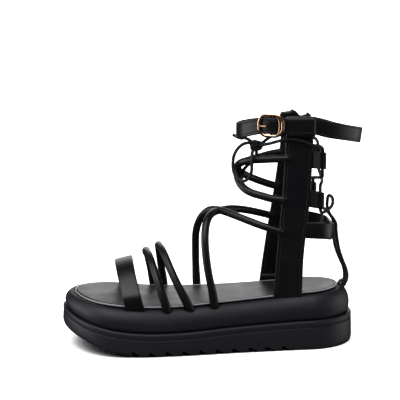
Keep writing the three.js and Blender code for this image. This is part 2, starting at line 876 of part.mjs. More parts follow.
function knotSolid(margin = 0) {
  const ball = new THREE.SphereGeometry(1, 10, 8);
  const [wide, deep, tall] = KNOT.size;
  ball.scale(wide / 2 + margin, tall / 2 + margin, deep / 2 + margin);
  ball.rotateX(Math.PI / 2);
  ball.translate(...KNOT.at);
  return toSolid(ball);
}

const knotRoom = knotSolid(GAP);

// A cord that leaves the knot's surface.
function fromKnot(route, steps) {
  return toGeometry(toSolid(tube(route.map(point), LACE, steps, 8)).subtract(knotRoom));
}

function lace() {
  const outer = toSolid(tube(LACE_OUTER.map(point), LACE, 56, 8));
  const inner = toSolid(tube(LACE_INNER.map(point), LACE, 48, 8));
  return toGeometry(outer.add(inner).subtract(knotRoom));
}

// ---------------------------------------------------------------- assembly

const sandal = new THREE.Group();
sandal.add(
  mesh("outsole", outsole(), RUBBER),
  mesh("platform_cover", cover(), LEATHER),
  mesh("insole", insole(), LINING),
  mesh("toe_strap", toeStrap(), LEATHER),
  ...FOREFOOT.map((row) => mesh(row.name, forefootStrap(row), LEATHER)),
  mesh("instep_straps", crossed(INSTEP_OVER, INSTEP_UNDER, 26), LEATHER),
  mesh("ankle_front_straps", crossed(ANKLE_FRONT_HIGH, ANKLE_FRONT_LOW, 22), LEATHER),
  mesh("side_panel_outer", sidePanel(PANEL_OUTER, SLEEVE_OUTER), LEATHER),
  mesh("side_panel_inner", sidePanel(PANEL_INNER, SLEEVE_INNER), LEATHER),
  mesh("heel_band", heelBand(), LEATHER),
  ...TABS.map((row) => mesh(row.name, laceTab(row), LEATHER)),
  mesh("ankle_strap", ankleStrap(), LEATHER),
  mesh("buckle_frame", buckleFrame(), GOLD),
  mesh("buckle_prong", tube(PRONG_ROUTE.map(point), PRONG_DIAMETER, 8, 8), GOLD),
  mesh("heel_loop", heelLoop(), LEATHER),
  mesh("lace", lace(), CORD),
  mesh("lace_knot", toGeometry(knotSolid()), CORD),
  mesh("lace_bow_loop", fromKnot(BOW_LOOP, 20), CORD),
  mesh("lace_end_front", fromKnot(END_FRONT, 7), CORD),
  mesh("lace_end_rear", fromKnot(END_REAR, 6), CORD),
);

export default sandal;
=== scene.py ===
"""A lace-up gladiator sandal for a left foot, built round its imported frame.

Sizes are in millimetres in the tables and classes, and become metres where a mesh is made.
The toe points to -X, the heel to +X, the buckle's side to -Y, and the floor is at Z = 0.
"""

import logging
import math
from dataclasses import dataclass, field
from enum import Enum
from typing import Callable, Sequence

import bpy
import numpy as np
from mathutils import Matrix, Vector


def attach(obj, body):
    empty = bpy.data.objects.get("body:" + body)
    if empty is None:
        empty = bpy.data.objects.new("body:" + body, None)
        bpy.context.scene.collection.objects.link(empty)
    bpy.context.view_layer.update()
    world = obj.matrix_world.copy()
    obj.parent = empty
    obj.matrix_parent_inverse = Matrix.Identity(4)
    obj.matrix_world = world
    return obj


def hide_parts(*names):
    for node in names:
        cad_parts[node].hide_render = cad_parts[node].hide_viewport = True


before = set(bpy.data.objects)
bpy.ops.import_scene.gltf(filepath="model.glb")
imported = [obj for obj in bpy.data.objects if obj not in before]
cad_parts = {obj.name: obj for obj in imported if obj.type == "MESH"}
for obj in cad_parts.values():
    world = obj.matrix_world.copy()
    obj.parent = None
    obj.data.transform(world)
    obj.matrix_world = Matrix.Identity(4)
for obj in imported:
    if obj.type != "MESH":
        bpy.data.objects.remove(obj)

LOG = logging.getLogger("sandal")
MM = 0.001
BODY = "root"
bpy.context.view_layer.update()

STRAP_STEP = 1.6  # length of a step along a strap
CORD_STEP = 0.9  # length of a step along the lace
WIRE_STEP = 0.5  # length of a step along the buckle's bars
FIRM = 38.0  # angle up to which most pieces are shaded smooth, in degrees
SOFT = 50.0  # the same for folded leather
STITCH_SUNK = 0.12  # how far a stitch is pulled into the leather
ENTRY_HEIGHT = 56.0  # below this height straps can press into the cover

Row = tuple[float, ...]
UPWARDS: Row = (0.0, 0.0, 1.0)
Ring = list[Vector]
Height = Callable[[float], float]
Contour = tuple[float, Height]  # how far an outline stands out, and its height as a function of x


class Slot(Enum):
    """The record's material slots."""

    LEATHER = "leather"
    LINING = "insole_lining"
    RUBBER = "outsole_rubber"
    CORD = "lace_cord"
    METAL = "buckle_metal"


class Side(Enum):
    """The two sides of the foot, as the sign of Y."""

    OUTER = -1
    INNER = 1


# ---------------------------------------------------------------- finishes


def linear(colour: str, alpha: float = 1.0) -> tuple[float, float, float, float]:
    """Turns an sRGB hex colour into linear values.

    Args:
        colour: the colour as "#rrggbb".
        alpha: the fourth value.

    Returns:
        Linear red, green, blue and alpha.
    """
    parts = [int(colour[i : i + 2], 16) / 255 for i in (1, 3, 5)]
    parts = [c / 12.92 if c <= 0.04045 else ((c + 0.055) / 1.055) ** 2.4 for c in parts]
    return (parts[0], parts[1], parts[2], alpha)


def add_node(
    tree: bpy.types.NodeTree, kind: str, settings: dict | None = None, links: dict | None = None
) -> bpy.types.Node:
    """Adds a node with its settings and links.

    Args:
        tree: the material's or world's node tree.
        kind: the node's type name.
        settings: attribute or input names, with their values.
        links: input names, with the sockets that feed them.

    Returns:
        The new node.
    """
    node = tree.nodes.new(kind)
    for key, value in (settings or {}).items():
        if isinstance(key, str) and hasattr(node, key):
            setattr(node, key, value)
        else:
            node.inputs[key].default_value = value
    for key, socket in (links or {}).items():
        tree.links.new(socket, node.inputs[key])
    return node


def fresh_material(name: str) -> tuple[bpy.types.Material, bpy.types.NodeTree, bpy.types.Node]:
    """Makes a material with only an output node.

    Args:
        name: the finish's common name.

    Returns:
        The material, its node tree and its output node.
    """
    material = bpy.data.materials.new(name)
    material.use_nodes = True
    material.node_tree.nodes.clear()
    output = add_node(material.node_tree, "ShaderNodeOutputMaterial")
    return material, material.node_tree, output


@dataclass(frozen=True)
class CoatedLeather:
    """Polyurethane-coated leather, calendered: a fine pebble grain under a satin coat."""

    name: str
    colour: str
    roughness: float
    grain: float = 0.9
    grain_depth: float = 0.05
    wave: float = 22.0
    wave_depth: float = 0.25
    mottle: float = 1.35
    specular: float = 0.5

    def material(self) -> bpy.types.Material:
        """Makes the node material."""
        material, tree, output = fresh_material(self.name)
        place = add_node(tree, "ShaderNodeTexCoord").outputs["Object"]
        # Grain cells are drawn a little coarser than real ones (0.4 mm), so that they show.
        pebble = add_node(
            tree, "ShaderNodeTexVoronoi", {"feature": "F1", "Scale": 1 / (self.grain * MM)}, {"Vector": place}
        )
        fine = add_node(
            tree, "ShaderNodeTexNoise", {"Scale": 3 / (self.grain * MM), "Detail": 3.0}, {"Vector": place}
        )
        broad = add_node(
            tree, "ShaderNodeTexNoise", {"Scale": 1 / (self.wave * MM), "Detail": 2.0}, {"Vector": place}
        )
        grain = add_node(
            tree,
            "ShaderNodeMath",
            {"operation": "MULTIPLY"},
            {0: pebble.outputs["Distance"], 1: fine.outputs["Fac"]},
        )
        wave_bump = add_node(
            tree,
            "ShaderNodeBump",
            {"Strength": 0.5, "Distance": self.wave_depth * MM},
            {"Height": broad.outputs["Fac"]},
        )
        grain_bump = add_node(
            tree,
            "ShaderNodeBump",
            {"Strength": 0.6, "Distance": self.grain_depth * MM, "invert": True},
            {"Height": grain.outputs[0], "Normal": wave_bump.outputs["Normal"]},
        )
        # Handling leaves the coat a little glossier in patches.
        gloss = add_node(
            tree,
            "ShaderNodeMapRange",
            {
                "From Min": 0.3,
                "From Max": 0.7,
                "To Min": self.roughness - 0.05,
                "To Max": self.roughness + 0.06,
            },
            {"Value": broad.outputs["Fac"]},
        )
        dark = linear(self.colour)
        pale = (*(self.mottle * c for c in dark[:3]), 1.0)
        tint = add_node(
            tree, "ShaderNodeMix", {"data_type": "RGBA", 6: dark, 7: pale}, {0: fine.outputs["Fac"]}
        )
        shader = add_node(
            tree,
            "ShaderNodeBsdfPrincipled",
            {"IOR": 1.5, "Specular IOR Level": self.specular},
            {
                "Base Color": tint.outputs[2],
                "Roughness": gloss.outputs[0],
                "Normal": grain_bump.outputs["Normal"],
            },
        )
        tree.links.new(shader.outputs[0], output.inputs["Surface"])
        return material


@dataclass(frozen=True)
class MouldedRubber:
    """Moulded thermoplastic rubber: matt, faintly stippled by the mould."""

    name: str = "moulded_rubber"
    colour: str = "#101116"
    roughness: float = 0.5
    stipple: float = 0.5

    def material(self) -> bpy.types.Material:
        """Makes the node material."""
        material, tree, output = fresh_material(self.name)
        place = add_node(tree, "ShaderNodeTexCoord").outputs["Object"]
        stipple = add_node(
            tree, "ShaderNodeTexNoise", {"Scale": 1 / (self.stipple * MM), "Detail": 2.0}, {"Vector": place}
        )
        flow = add_node(tree, "ShaderNodeTexNoise", {"Scale": 40.0, "Detail": 3.0}, {"Vector": place})
        bump = add_node(
            tree,
            "ShaderNodeBump",
            {"Strength": 0.35, "Distance": 0.04 * MM},
            {"Height": stipple.outputs["Fac"]},
        )
        rough = add_node(
            tree,
            "ShaderNodeMapRange",
            {"To Min": self.roughness - 0.06, "To Max": self.roughness + 0.08},
            {"Value": flow.outputs["Fac"]},
        )
        shader = add_node(
            tree,
            "ShaderNodeBsdfPrincipled",
            {"Base Color": linear(self.colour), "IOR": 1.5, "Specular IOR Level": 0.3},
            {"Roughness": rough.outputs[0], "Normal": bump.outputs["Normal"]},
        )
        tree.links.new(shader.outputs[0], output.inputs["Surface"])
        return material


@dataclass(frozen=True)
class WaxedCord:
    """Waxed polyester cord, round-braided: slanting strands cross in a fine herringbone."""

    name: str = "waxed_braided_cord"
    colour: str = "#09090b"
    roughness: float = 0.52
    pitch: float = 2.2
    strands: int = 8
    girth: float = 9.4

    def material(self) -> bpy.types.Material:
        """Makes the node material."""
        material, tree, output = fresh_material(self.name)
        uv = add_node(tree, "ShaderNodeTexCoord").outputs["UV"]
        split = add_node(tree, "ShaderNodeSeparateXYZ", {}, {"Vector": uv})
        turn = 2 * math.pi
        # The braid's pitch is coarser than the real 1.5 mm, so that it shows.
        along = add_node(
            tree,
            "ShaderNodeMath",
            {"operation": "MULTIPLY", 1: turn / (self.pitch * MM)},
            {0: split.outputs["Y"]},
        )
        around = add_node(
            tree,
            "ShaderNodeMath",
            {"operation": "MULTIPLY", 1: turn * self.strands / 2 / (self.girth * MM)},
            {0: split.outputs["X"]},
        )
        waves = []
        for operation in ("ADD", "SUBTRACT"):
            slant = add_node(
                tree, "ShaderNodeMath", {"operation": operation}, {0: along.outputs[0], 1: around.outputs[0]}
            )
            waves.append(add_node(tree, "ShaderNodeMath", {"operation": "SINE"}, {0: slant.outputs[0]}))
        strands = add_node(
            tree, "ShaderNodeMath", {"operation": "MAXIMUM"}, {0: waves[0].outputs[0], 1: waves[1].outputs[0]}
        )
        bump = add_node(
            tree, "ShaderNodeBump", {"Strength": 0.55, "Distance": 0.18 * MM}, {"Height": strands.outputs[0]}
        )
        shader = add_node(
            tree,
            "ShaderNodeBsdfPrincipled",
            {
                "Base Color": linear(self.colour),
                "Roughness": self.roughness,
                "IOR": 1.5,
                "Specular IOR Level": 0.35,
            },
            {"Normal": bump.outputs["Normal"]},
        )
        tree.links.new(shader.outputs[0], output.inputs["Surface"])
        return material


@dataclass(frozen=True)
class PlatedAlloy:
    """Zinc alloy, die-cast, polished and rose-gold plated: bright, with faint polishing haze."""

    name: str = "rose_gold_plated_alloy"
    colour: str = "#d6ae8e"
    roughness: float = 0.2

    def material(self) -> bpy.types.Material:
        """Makes the node material."""
        material, tree, output = fresh_material(self.name)
        place = add_node(tree, "ShaderNodeTexCoord").outputs["Object"]
        haze = add_node(tree, "ShaderNodeTexNoise", {"Scale": 600.0, "Detail": 4.0}, {"Vector": place})
        rough = add_node(
            tree,
            "ShaderNodeMapRange",
            {"To Min": self.roughness - 0.05, "To Max": self.roughness + 0.08},
            {"Value": haze.outputs["Fac"]},
        )
        shader = add_node(
            tree,
            "ShaderNodeBsdfPrincipled",
            {"Base Color": linear(self.colour), "Metallic": 1.0},
            {"Roughness": rough.outputs[0]},
        )
        tree.links.new(shader.outputs[0], output.inputs["Surface"])
        return material


@dataclass(frozen=True)
class SewingThread:
    """Bonded polyester thread: thin, slightly shiny where it is pulled tight."""

    name: str = "bonded_polyester_thread"
    colour: str = "#121214"

    def material(self) -> bpy.types.Material:
        """Makes the node material."""
        material, tree, output = fresh_material(self.name)
        place = add_node(tree, "ShaderNodeTexCoord").outputs["Object"]
        twist = add_node(tree, "ShaderNodeTexNoise", {"Scale": 5000.0}, {"Vector": place})
        bump = add_node(
            tree, "ShaderNodeBump", {"Strength": 0.4, "Distance": 0.05 * MM}, {"Height": twist.outputs["Fac"]}
        )
        shader = add_node(
            tree,
            "ShaderNodeBsdfPrincipled",
            {"Base Color": linear(self.colour), "Roughness": 0.45, "IOR": 1.5},
            {"Normal": bump.outputs["Normal"]},
        )
        tree.links.new(shader.outputs[0], output.inputs["Surface"])
        return material


class Wardrobe:
    """Every finish of the sandal, made once."""

    def __init__(self) -> None:
        """Makes the materials."""
        self.upper = CoatedLeather("coated_leather_upper", "#050507", 0.4, specular=0.3).material()
        self.cover = CoatedLeather(
            "coated_leather_cover", "#0a0b10", 0.56, wave=34.0, wave_depth=0.5, specular=0.35
        ).material()
        self.lining = CoatedLeather(
            "insole_lining_leather", "#18181a", 0.46, grain=0.7, grain_depth=0.03, wave_depth=0.1
        ).material()
        # The rolled edge is glossier than the leather, and its pale grey colour is a painted highlight along
        # the insole's edge.
        self.painted_highlight_edge = CoatedLeather("edge_leather_painted_highlight", "#77777b", 0.2, grain_depth=0.02).material()
        self.rubber = MouldedRubber().material()
        self.cord = WaxedCord().material()
        self.metal = PlatedAlloy().material()
        self.thread = SewingThread().material()


# ---------------------------------------------------------------- shaping tools


def deselect() -> None:
    """Deselects every object."""
    if bpy.context.mode != "OBJECT":
        bpy.ops.object.mode_set(mode="OBJECT")
    bpy.ops.object.select_all(action="DESELECT")


def mend(piece: bpy.types.Object, smooth: float = FIRM) -> None:
    """Closes a mesh's seams and poles, turns its faces outwards and shades it smooth.

    Args:
        piece: the mesh object.
        smooth: the sharpest angle between faces that is shaded smooth, in degrees.
    """
    deselect()
    piece.select_set(True)
    bpy.context.view_layer.objects.active = piece
    bpy.ops.object.mode_set(mode="EDIT")
    bpy.ops.mesh.select_all(action="SELECT")
    bpy.ops.mesh.remove_doubles(threshold=1e-6)
    bpy.ops.mesh.delete_loose()
    bpy.ops.mesh.select_all(action="SELECT")
    bpy.ops.mesh.normals_make_consistent(inside=False)
    bpy.ops.object.mode_set(mode="OBJECT")
    bpy.ops.object.shade_smooth_by_angle(angle=math.radians(smooth))
    piece.select_set(False)


def skin(name: str, rings: Sequence[Ring], loop: bool = False, smooth: float = FIRM) -> bpy.types.Object:
    """Stretches a grid over closed rings of points, in millimetres, with a UV map in metres.

    Args:
        name: the piece's name.
        rings: rings with equally many points, in order.
        loop: whether the last ring meets the first.
        smooth: the sharpest angle that is shaded smooth, in degrees.

    Returns:
        The new object, at the origin.
    """
    rows = [list(r) + [r[0]] for r in rings]
    if loop:
        rows.append(rows[0])
    deselect()
    bpy.ops.mesh.primitive_grid_add(x_subdivisions=len(rows[0]) - 1, y_subdivisions=len(rows) - 1, size=1)
    piece = bpy.context.object
    piece.name = name
    piece.data.name = name
    points = np.array([[tuple(p) for p in r] for r in rows], float) * MM
    piece.data.vertices.foreach_set("co", points.reshape(-1))
    girth = np.linalg.norm(np.diff(points, axis=1), axis=2).sum(axis=1).max()
    length = np.linalg.norm(np.diff(points, axis=0), axis=2).max(axis=1).sum()
    layer = piece.data.uv_layers.active.data
    uv = np.zeros(len(layer) * 2, np.float32)
    layer.foreach_get("uv", uv)
    uv = uv.reshape(-1, 2) * np.array([girth, length], np.float32)
    layer.foreach_set("uv", uv.reshape(-1))
    mend(piece, smooth)
    return piece


def smooth_route(rows: Sequence[Row], step: float) -> list[Vector]:
    """A smooth line through points, cut into equal steps.

    Args:
        rows: the points.
        step: the length of a step.

    Returns:
        The stations along the line.
    """
    p = [Vector(r) for r in rows]
    p = [2 * p[0] - p[1], *p, 2 * p[-1] - p[-2]]
    line: list[Vector] = []
    for a, b, c, d in zip(p, p[1:], p[2:], p[3:]):
        ab, bc, cd = ((v - u).length ** 0.5 for u, v in ((a, b), (b, c), (c, d)))
        for i in range(12):
            t = ab + bc * i / 12
            l1 = a.lerp(b, t / ab)
            l2 = b.lerp(c, (t - ab) / bc)
            l3 = c.lerp(d, (t - ab - bc) / cd)
            m1 = l1.lerp(l2, t / (ab + bc))
            m2 = l2.lerp(l3, (t - ab) / (bc + cd))
            line.append(m1.lerp(m2, (t - ab) / bc))
    line.append(p[-2].copy())
    return even(line, step)


def even(line: Sequence[Vector], step: float) -> list[Vector]:
    """Cuts a polyline into equal steps.

    Args:
        line: its points.
        step: the wanted length of a step.

    Returns:
        The stations, ends included.
    """
    points = np.array([tuple(v) for v in line])
    run = np.concatenate([[0], np.cumsum(np.linalg.norm(np.diff(points, axis=0), axis=1))])
    count = max(2, round(run[-1] / step))
    at = np.linspace(0, run[-1], count + 1)
    return [Vector(tuple(float(np.interp(s, run, points[:, k])) for k in range(3))) for s in at]


def headings(places: Sequence[Vector], loop: bool = False) -> list[Vector]:
    """The direction of travel at each station.

    Args:
        places: the stations.
        loop: whether the line closes on itself.

    Returns:
        A unit vector for each station.
    """
    n = len(places)
    if loop:
        return [(places[(i + 1) % n] - places[i - 1]).normalized() for i in range(n)]
    return [(places[min(i + 1, n - 1)] - places[max(i - 1, 0)]).normalized() for i in range(n)]


def sweep(
    places: Sequence[Vector],
    section: Sequence[Row],
    across: Callable[[int], Vector],
    loop: bool = False,
    caps: Sequence[Row] = ((0.0, 0.0),),
    swell: Callable[[int], float] = lambda i: 1.0,
) -> list[Ring]:
    """Rings of a section carried along stations.

    Args:
        places: the stations.
        section: points (across, out).
        across: the section's first direction at a station.
        loop: whether the line closes on itself.
        caps: at each end, (scale, how far it stands out), from the pole inwards.
        swell: the section's scale at a station.

    Returns:
        The rings, with the ends closed to poles unless the line is a loop.
    """
    rings = []
    ways = headings(places, loop)
    for i, (at, way) in enumerate(zip(places, ways)):
        side = across(i)
        side = (side - way * side.dot(way)).normalized()
        out = way.cross(side)
        size = swell(i)
        rings.append([at + (side * u + out * v) * size for u, v in section])
    if loop:
        return rings

    def cap(ring: Ring, at: Vector, way: Vector) -> list[Ring]:
        """The rings that round an end off."""
        return [[at + (p - at) * scale + way * reach for p in ring] for scale, reach in caps]

    start = cap(rings[0], places[0], -ways[0])
    end = cap(rings[-1], places[-1], ways[-1])
    return [*start, *rings, *reversed(end)]


def carried(places: Sequence[Vector], first: Vector) -> Callable[[int], Vector]:
    """A direction carried along a line without twisting.

    Args:
        places: the stations.
        first: the direction at the first station.

    Returns:
        The direction at each station.
    """
    ways = headings(places)
    sides = [(first - ways[0] * first.dot(ways[0])).normalized()]
    for a, b in zip(ways, ways[1:]):
        sides.append((a.rotation_difference(b) @ sides[-1]).normalized())
    return lambda i: sides[i]


def circle(diameter: float, sides: int, flat: float = 1.0) -> list[Row]:
    """A round section.

    Args:
        diameter: its width.
        sides: the number of points.
        flat: its height as a share of its width.

    Returns:
        The section's points.
    """
    turns = [2 * math.pi * i / sides for i in range(sides)]
    return [(diameter / 2 * math.cos(a), diameter / 2 * flat * math.sin(a)) for a in turns]


def slab(width: float, thickness: float, groove: float = 0.0, crown: float = 0.0) -> list[Row]:
    """A flat strap's section with soft edges.

    Args:
        width: its width.
        thickness: its thickness.
        groove: how far a sewn groove lies from each edge, or 0 for none.
        crown: how much thicker the middle is on each face.

    Returns:
        The section's points, once round.
    """
    soft = min(1.0, thickness / 2)
    offsets = [soft * share for share in (0.0, 0.04, 0.16, 0.4, 0.7, 1.0)]
    if groove:
        offsets += [groove + near for near in (-0.9, -0.35, 0.0, 0.35, 0.9)]
    offsets += [width * share for share in (0.25, 0.375, 0.5) if width * share > offsets[-1] + 0.3]
    groove_depth, groove_spread = 0.22, 0.4

    def half(offset: float) -> float:
        """Half the thickness at a distance from the edge."""
        edge = math.sqrt(max(0.0, 1 - (1 - min(offset / soft, 1.0)) ** 2))
        dip = groove_depth * math.exp(-(((offset - groove) / groove_spread) ** 2)) if groove else 0.0
        return thickness / 2 * edge - dip + crown * math.sin(math.pi * min(offset / width, 0.5))

    left = [(-width / 2 + o, half(o)) for o in offsets]
    right = [(-u, v) for u, v in reversed(left[:-1])]
    top = left + right
    return [(u, -v) for u, v in top] + [(u, v) for u, v in reversed(top[1:-1])]


def ribbon(line: Sequence[Row], thickness: float) -> list[Row]:
    """The outline of a thin sheet seen on edge.

    Args:
        line: the sheet's middle line.
        thickness: its thickness.

    Returns:
        The points of one face and back along the other.
    """
    near, far = [], []
    last = len(line) - 1
    end_share = 0.55  # the cut ends are thinner, which rounds them
    for i, (a, b) in enumerate(line):
        a0, b0 = line[max(i - 1, 0)]
        a1, b1 = line[min(i + 1, last)]
        size = math.hypot(a1 - a0, b1 - b0)
        na, nb = -(b1 - b0) / size, (a1 - a0) / size
        half = thickness / 2 * (end_share if i in (0, last) else 1.0)
        near.append((a + na * half, b + nb * half))
        far.append((a - na * half, b - nb * half))
    return near + far[::-1]


# How a sheet's thickness grows from its cut edge: share of the thickness at each distance.
EDGE = ((0.0, 0.0), (0.5, 0.06), (0.8, 0.2), (1.0, 0.45))


def edge_stations(start: float, end: float, inner: int) -> list[Row]:
    """Stations across a sheet with rounded edges.

    Args:
        start: where the sheet starts.
        end: where it ends.
        inner: the number of stations between the edges.

    Returns:
        Rows of (place, share of the thickness).
    """
    rows = [(start + d, s) for s, d in EDGE]
    rows += [(start + (end - start) * i / (inner + 1), 1.0) for i in range(1, inner + 1)]
    return rows + [(end - d, s) for s, d in reversed(EDGE)]


def column(table: Sequence[Row], key: int) -> Callable[[float], float]:
    """One column of a table as a smooth function of the first, straight beyond the ends.

    Args:
        table: the rows.
        key: the column's number.

    Returns:
        The function.
    """

    def slope(i: int) -> float:
        """The table's slope at a row."""
        a, b = table[max(i - 1, 0)], table[min(i + 1, len(table) - 1)]
        return (b[key] - a[key]) / (b[0] - a[0])

    def value(x: float) -> float:
        """The column's value at x, by a cubic between two rows."""
        i = 0
        while i < len(table) - 2 and x > table[i + 1][0]:
            i += 1
        a, b = table[i], table[i + 1]
        if x < a[0]:
            return a[key] + slope(i) * (x - a[0])
        if x > b[0]:
            return b[key] + slope(i + 1) * (x - b[0])
        h = b[0] - a[0]
        t = (x - a[0]) / h
        u = 1 - t
        bend = h * u * t * (slope(i) * u - slope(i + 1) * t)
        return a[key] * (1 + 2 * t) * u * u + b[key] * t * t * (3 - 2 * t) + bend

    return value


def arch(
    near: Row,
    top: Row,
    far: Row,
    lean: float = 1.0,
    fullness: float = 0.86,
    tuck: float = 0.0,
    skew: float = 0.0,
    belly: float = 0.0,
    steps: int = 64,
) -> list[Vector]:
    """Stations of an arch over the foot.

    Args:
        near: its foot on the outer side.
        top: X and Z of its top.
        far: its foot on the inner side.
        lean: above 1, the feet stay upright and the top tips.
        fullness: below 1, the shoulders are squarer.
        tuck: how far the feet turn in under the strap's own bulge.
        skew: how far the outer shoulder is drawn towards the heel.
        belly: how far the feet swell outwards a little above the cover.
        steps: the number of steps.

    Returns:
        The stations, outer side first.
    """
    middle, half = (near[1] + far[1]) / 2, (far[1] - near[1]) / 2
    belly_height, belly_spread, tuck_spread = 17.5, 8, 13
    stations = []
    for i in range(steps + 1):
        angle = math.pi * i / steps
        across = -math.cos(angle)
        foot = near if across < 0 else far
        rise = math.sin(angle) ** fullness
        up = rise * (top[1] - foot[2])
        swollen = belly * math.exp(-(((up - belly_height) / belly_spread) ** 2))
        turned = swollen - tuck * math.exp(-((up / tuck_spread) ** 2))
        bulge = abs(across) ** fullness + turned / half
        y = middle + half * math.copysign(bulge, across)
        x = foot[0] + (top[0] - foot[0]) * rise**lean + skew * max(-across, 0.0) ** 0.5 * rise**4
        stations.append(Vector((x, y, foot[2] + up)))
    return even(stations, STRAP_STEP)


def finish_piece(
    piece: bpy.types.Object, material: bpy.types.Material, slot: Slot, *nodes: str
) -> bpy.types.Object:
    """Dresses a piece, ties it to the frame and reports it.

    Args:
        piece: the object.
        material: its finish.
        slot: the record's slot; not used.
        nodes: the frame's nodes that it stands for.

    Returns:
        The piece.
    """
    piece.data.materials.clear()
    piece.data.materials.append(material)
    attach(piece, BODY)
    if nodes:
        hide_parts(*nodes)
    LOG.info("%s: %d faces", piece.name, len(piece.data.polygons))
    return piece


@dataclass
class Seam:
    """A row of stitches along a line on a surface."""

    pitch: float = 3.4
    stitch: float = 2.5
    thread: float = 0.62

    def build(self, name: str, lines: Sequence[Sequence[tuple[Vector, Vector]]]) -> bpy.types.Object:
        """Copies one stitch along lines of (place, outward direction).

        Args:
            name: the piece's name.
            lines: the lines, in millimetres.

        Returns:
            One object with every stitch.
        """
        deselect()
        bpy.ops.mesh.primitive_uv_sphere_add(segments=8, ring_count=6, radius=0.5)
        piece = bpy.context.object
        piece.name = piece.data.name = name
        base = np.array([tuple(v.co) for v in piece.data.vertices])
        faces = [tuple(p.vertices) for p in piece.data.polygons]
        verts: list[np.ndarray] = []
        polys: list[tuple[int, ...]] = []
        for line in lines:
            places = [p for p, _ in line]
            run = np.concatenate([[0], np.cumsum([(b - a).length for a, b in zip(places, places[1:])])])
            count = max(1, int(run[-1] / self.pitch))
            for k in range(count):
                middle = (k + 0.5) * run[-1] / count
                i = min(int(np.searchsorted(run, middle)), len(places) - 1)
                share = (middle - run[i - 1]) / max(run[i] - run[i - 1], 1e-9)
                at = places[i - 1].lerp(places[i], share)
                way = (places[i] - places[i - 1]).normalized()
                out = line[i][1].normalized()
                side = way.cross(out).normalized()
                axes = (way * self.stitch, side * self.thread, out * self.thread)
                turn = np.array([tuple(axis) for axis in axes])
                offset = len(verts) * len(base)
                verts.append(base[:, [2, 0, 1]] @ turn + np.array(tuple(at)))
                polys += [tuple(offset + j for j in f) for f in faces]
        piece.data.clear_geometry()
        piece.data.from_pydata((np.concatenate(verts) * MM).tolist(), [], polys)
        mend(piece, 180.0)
        return piece


# ---------------------------------------------------------------- sole


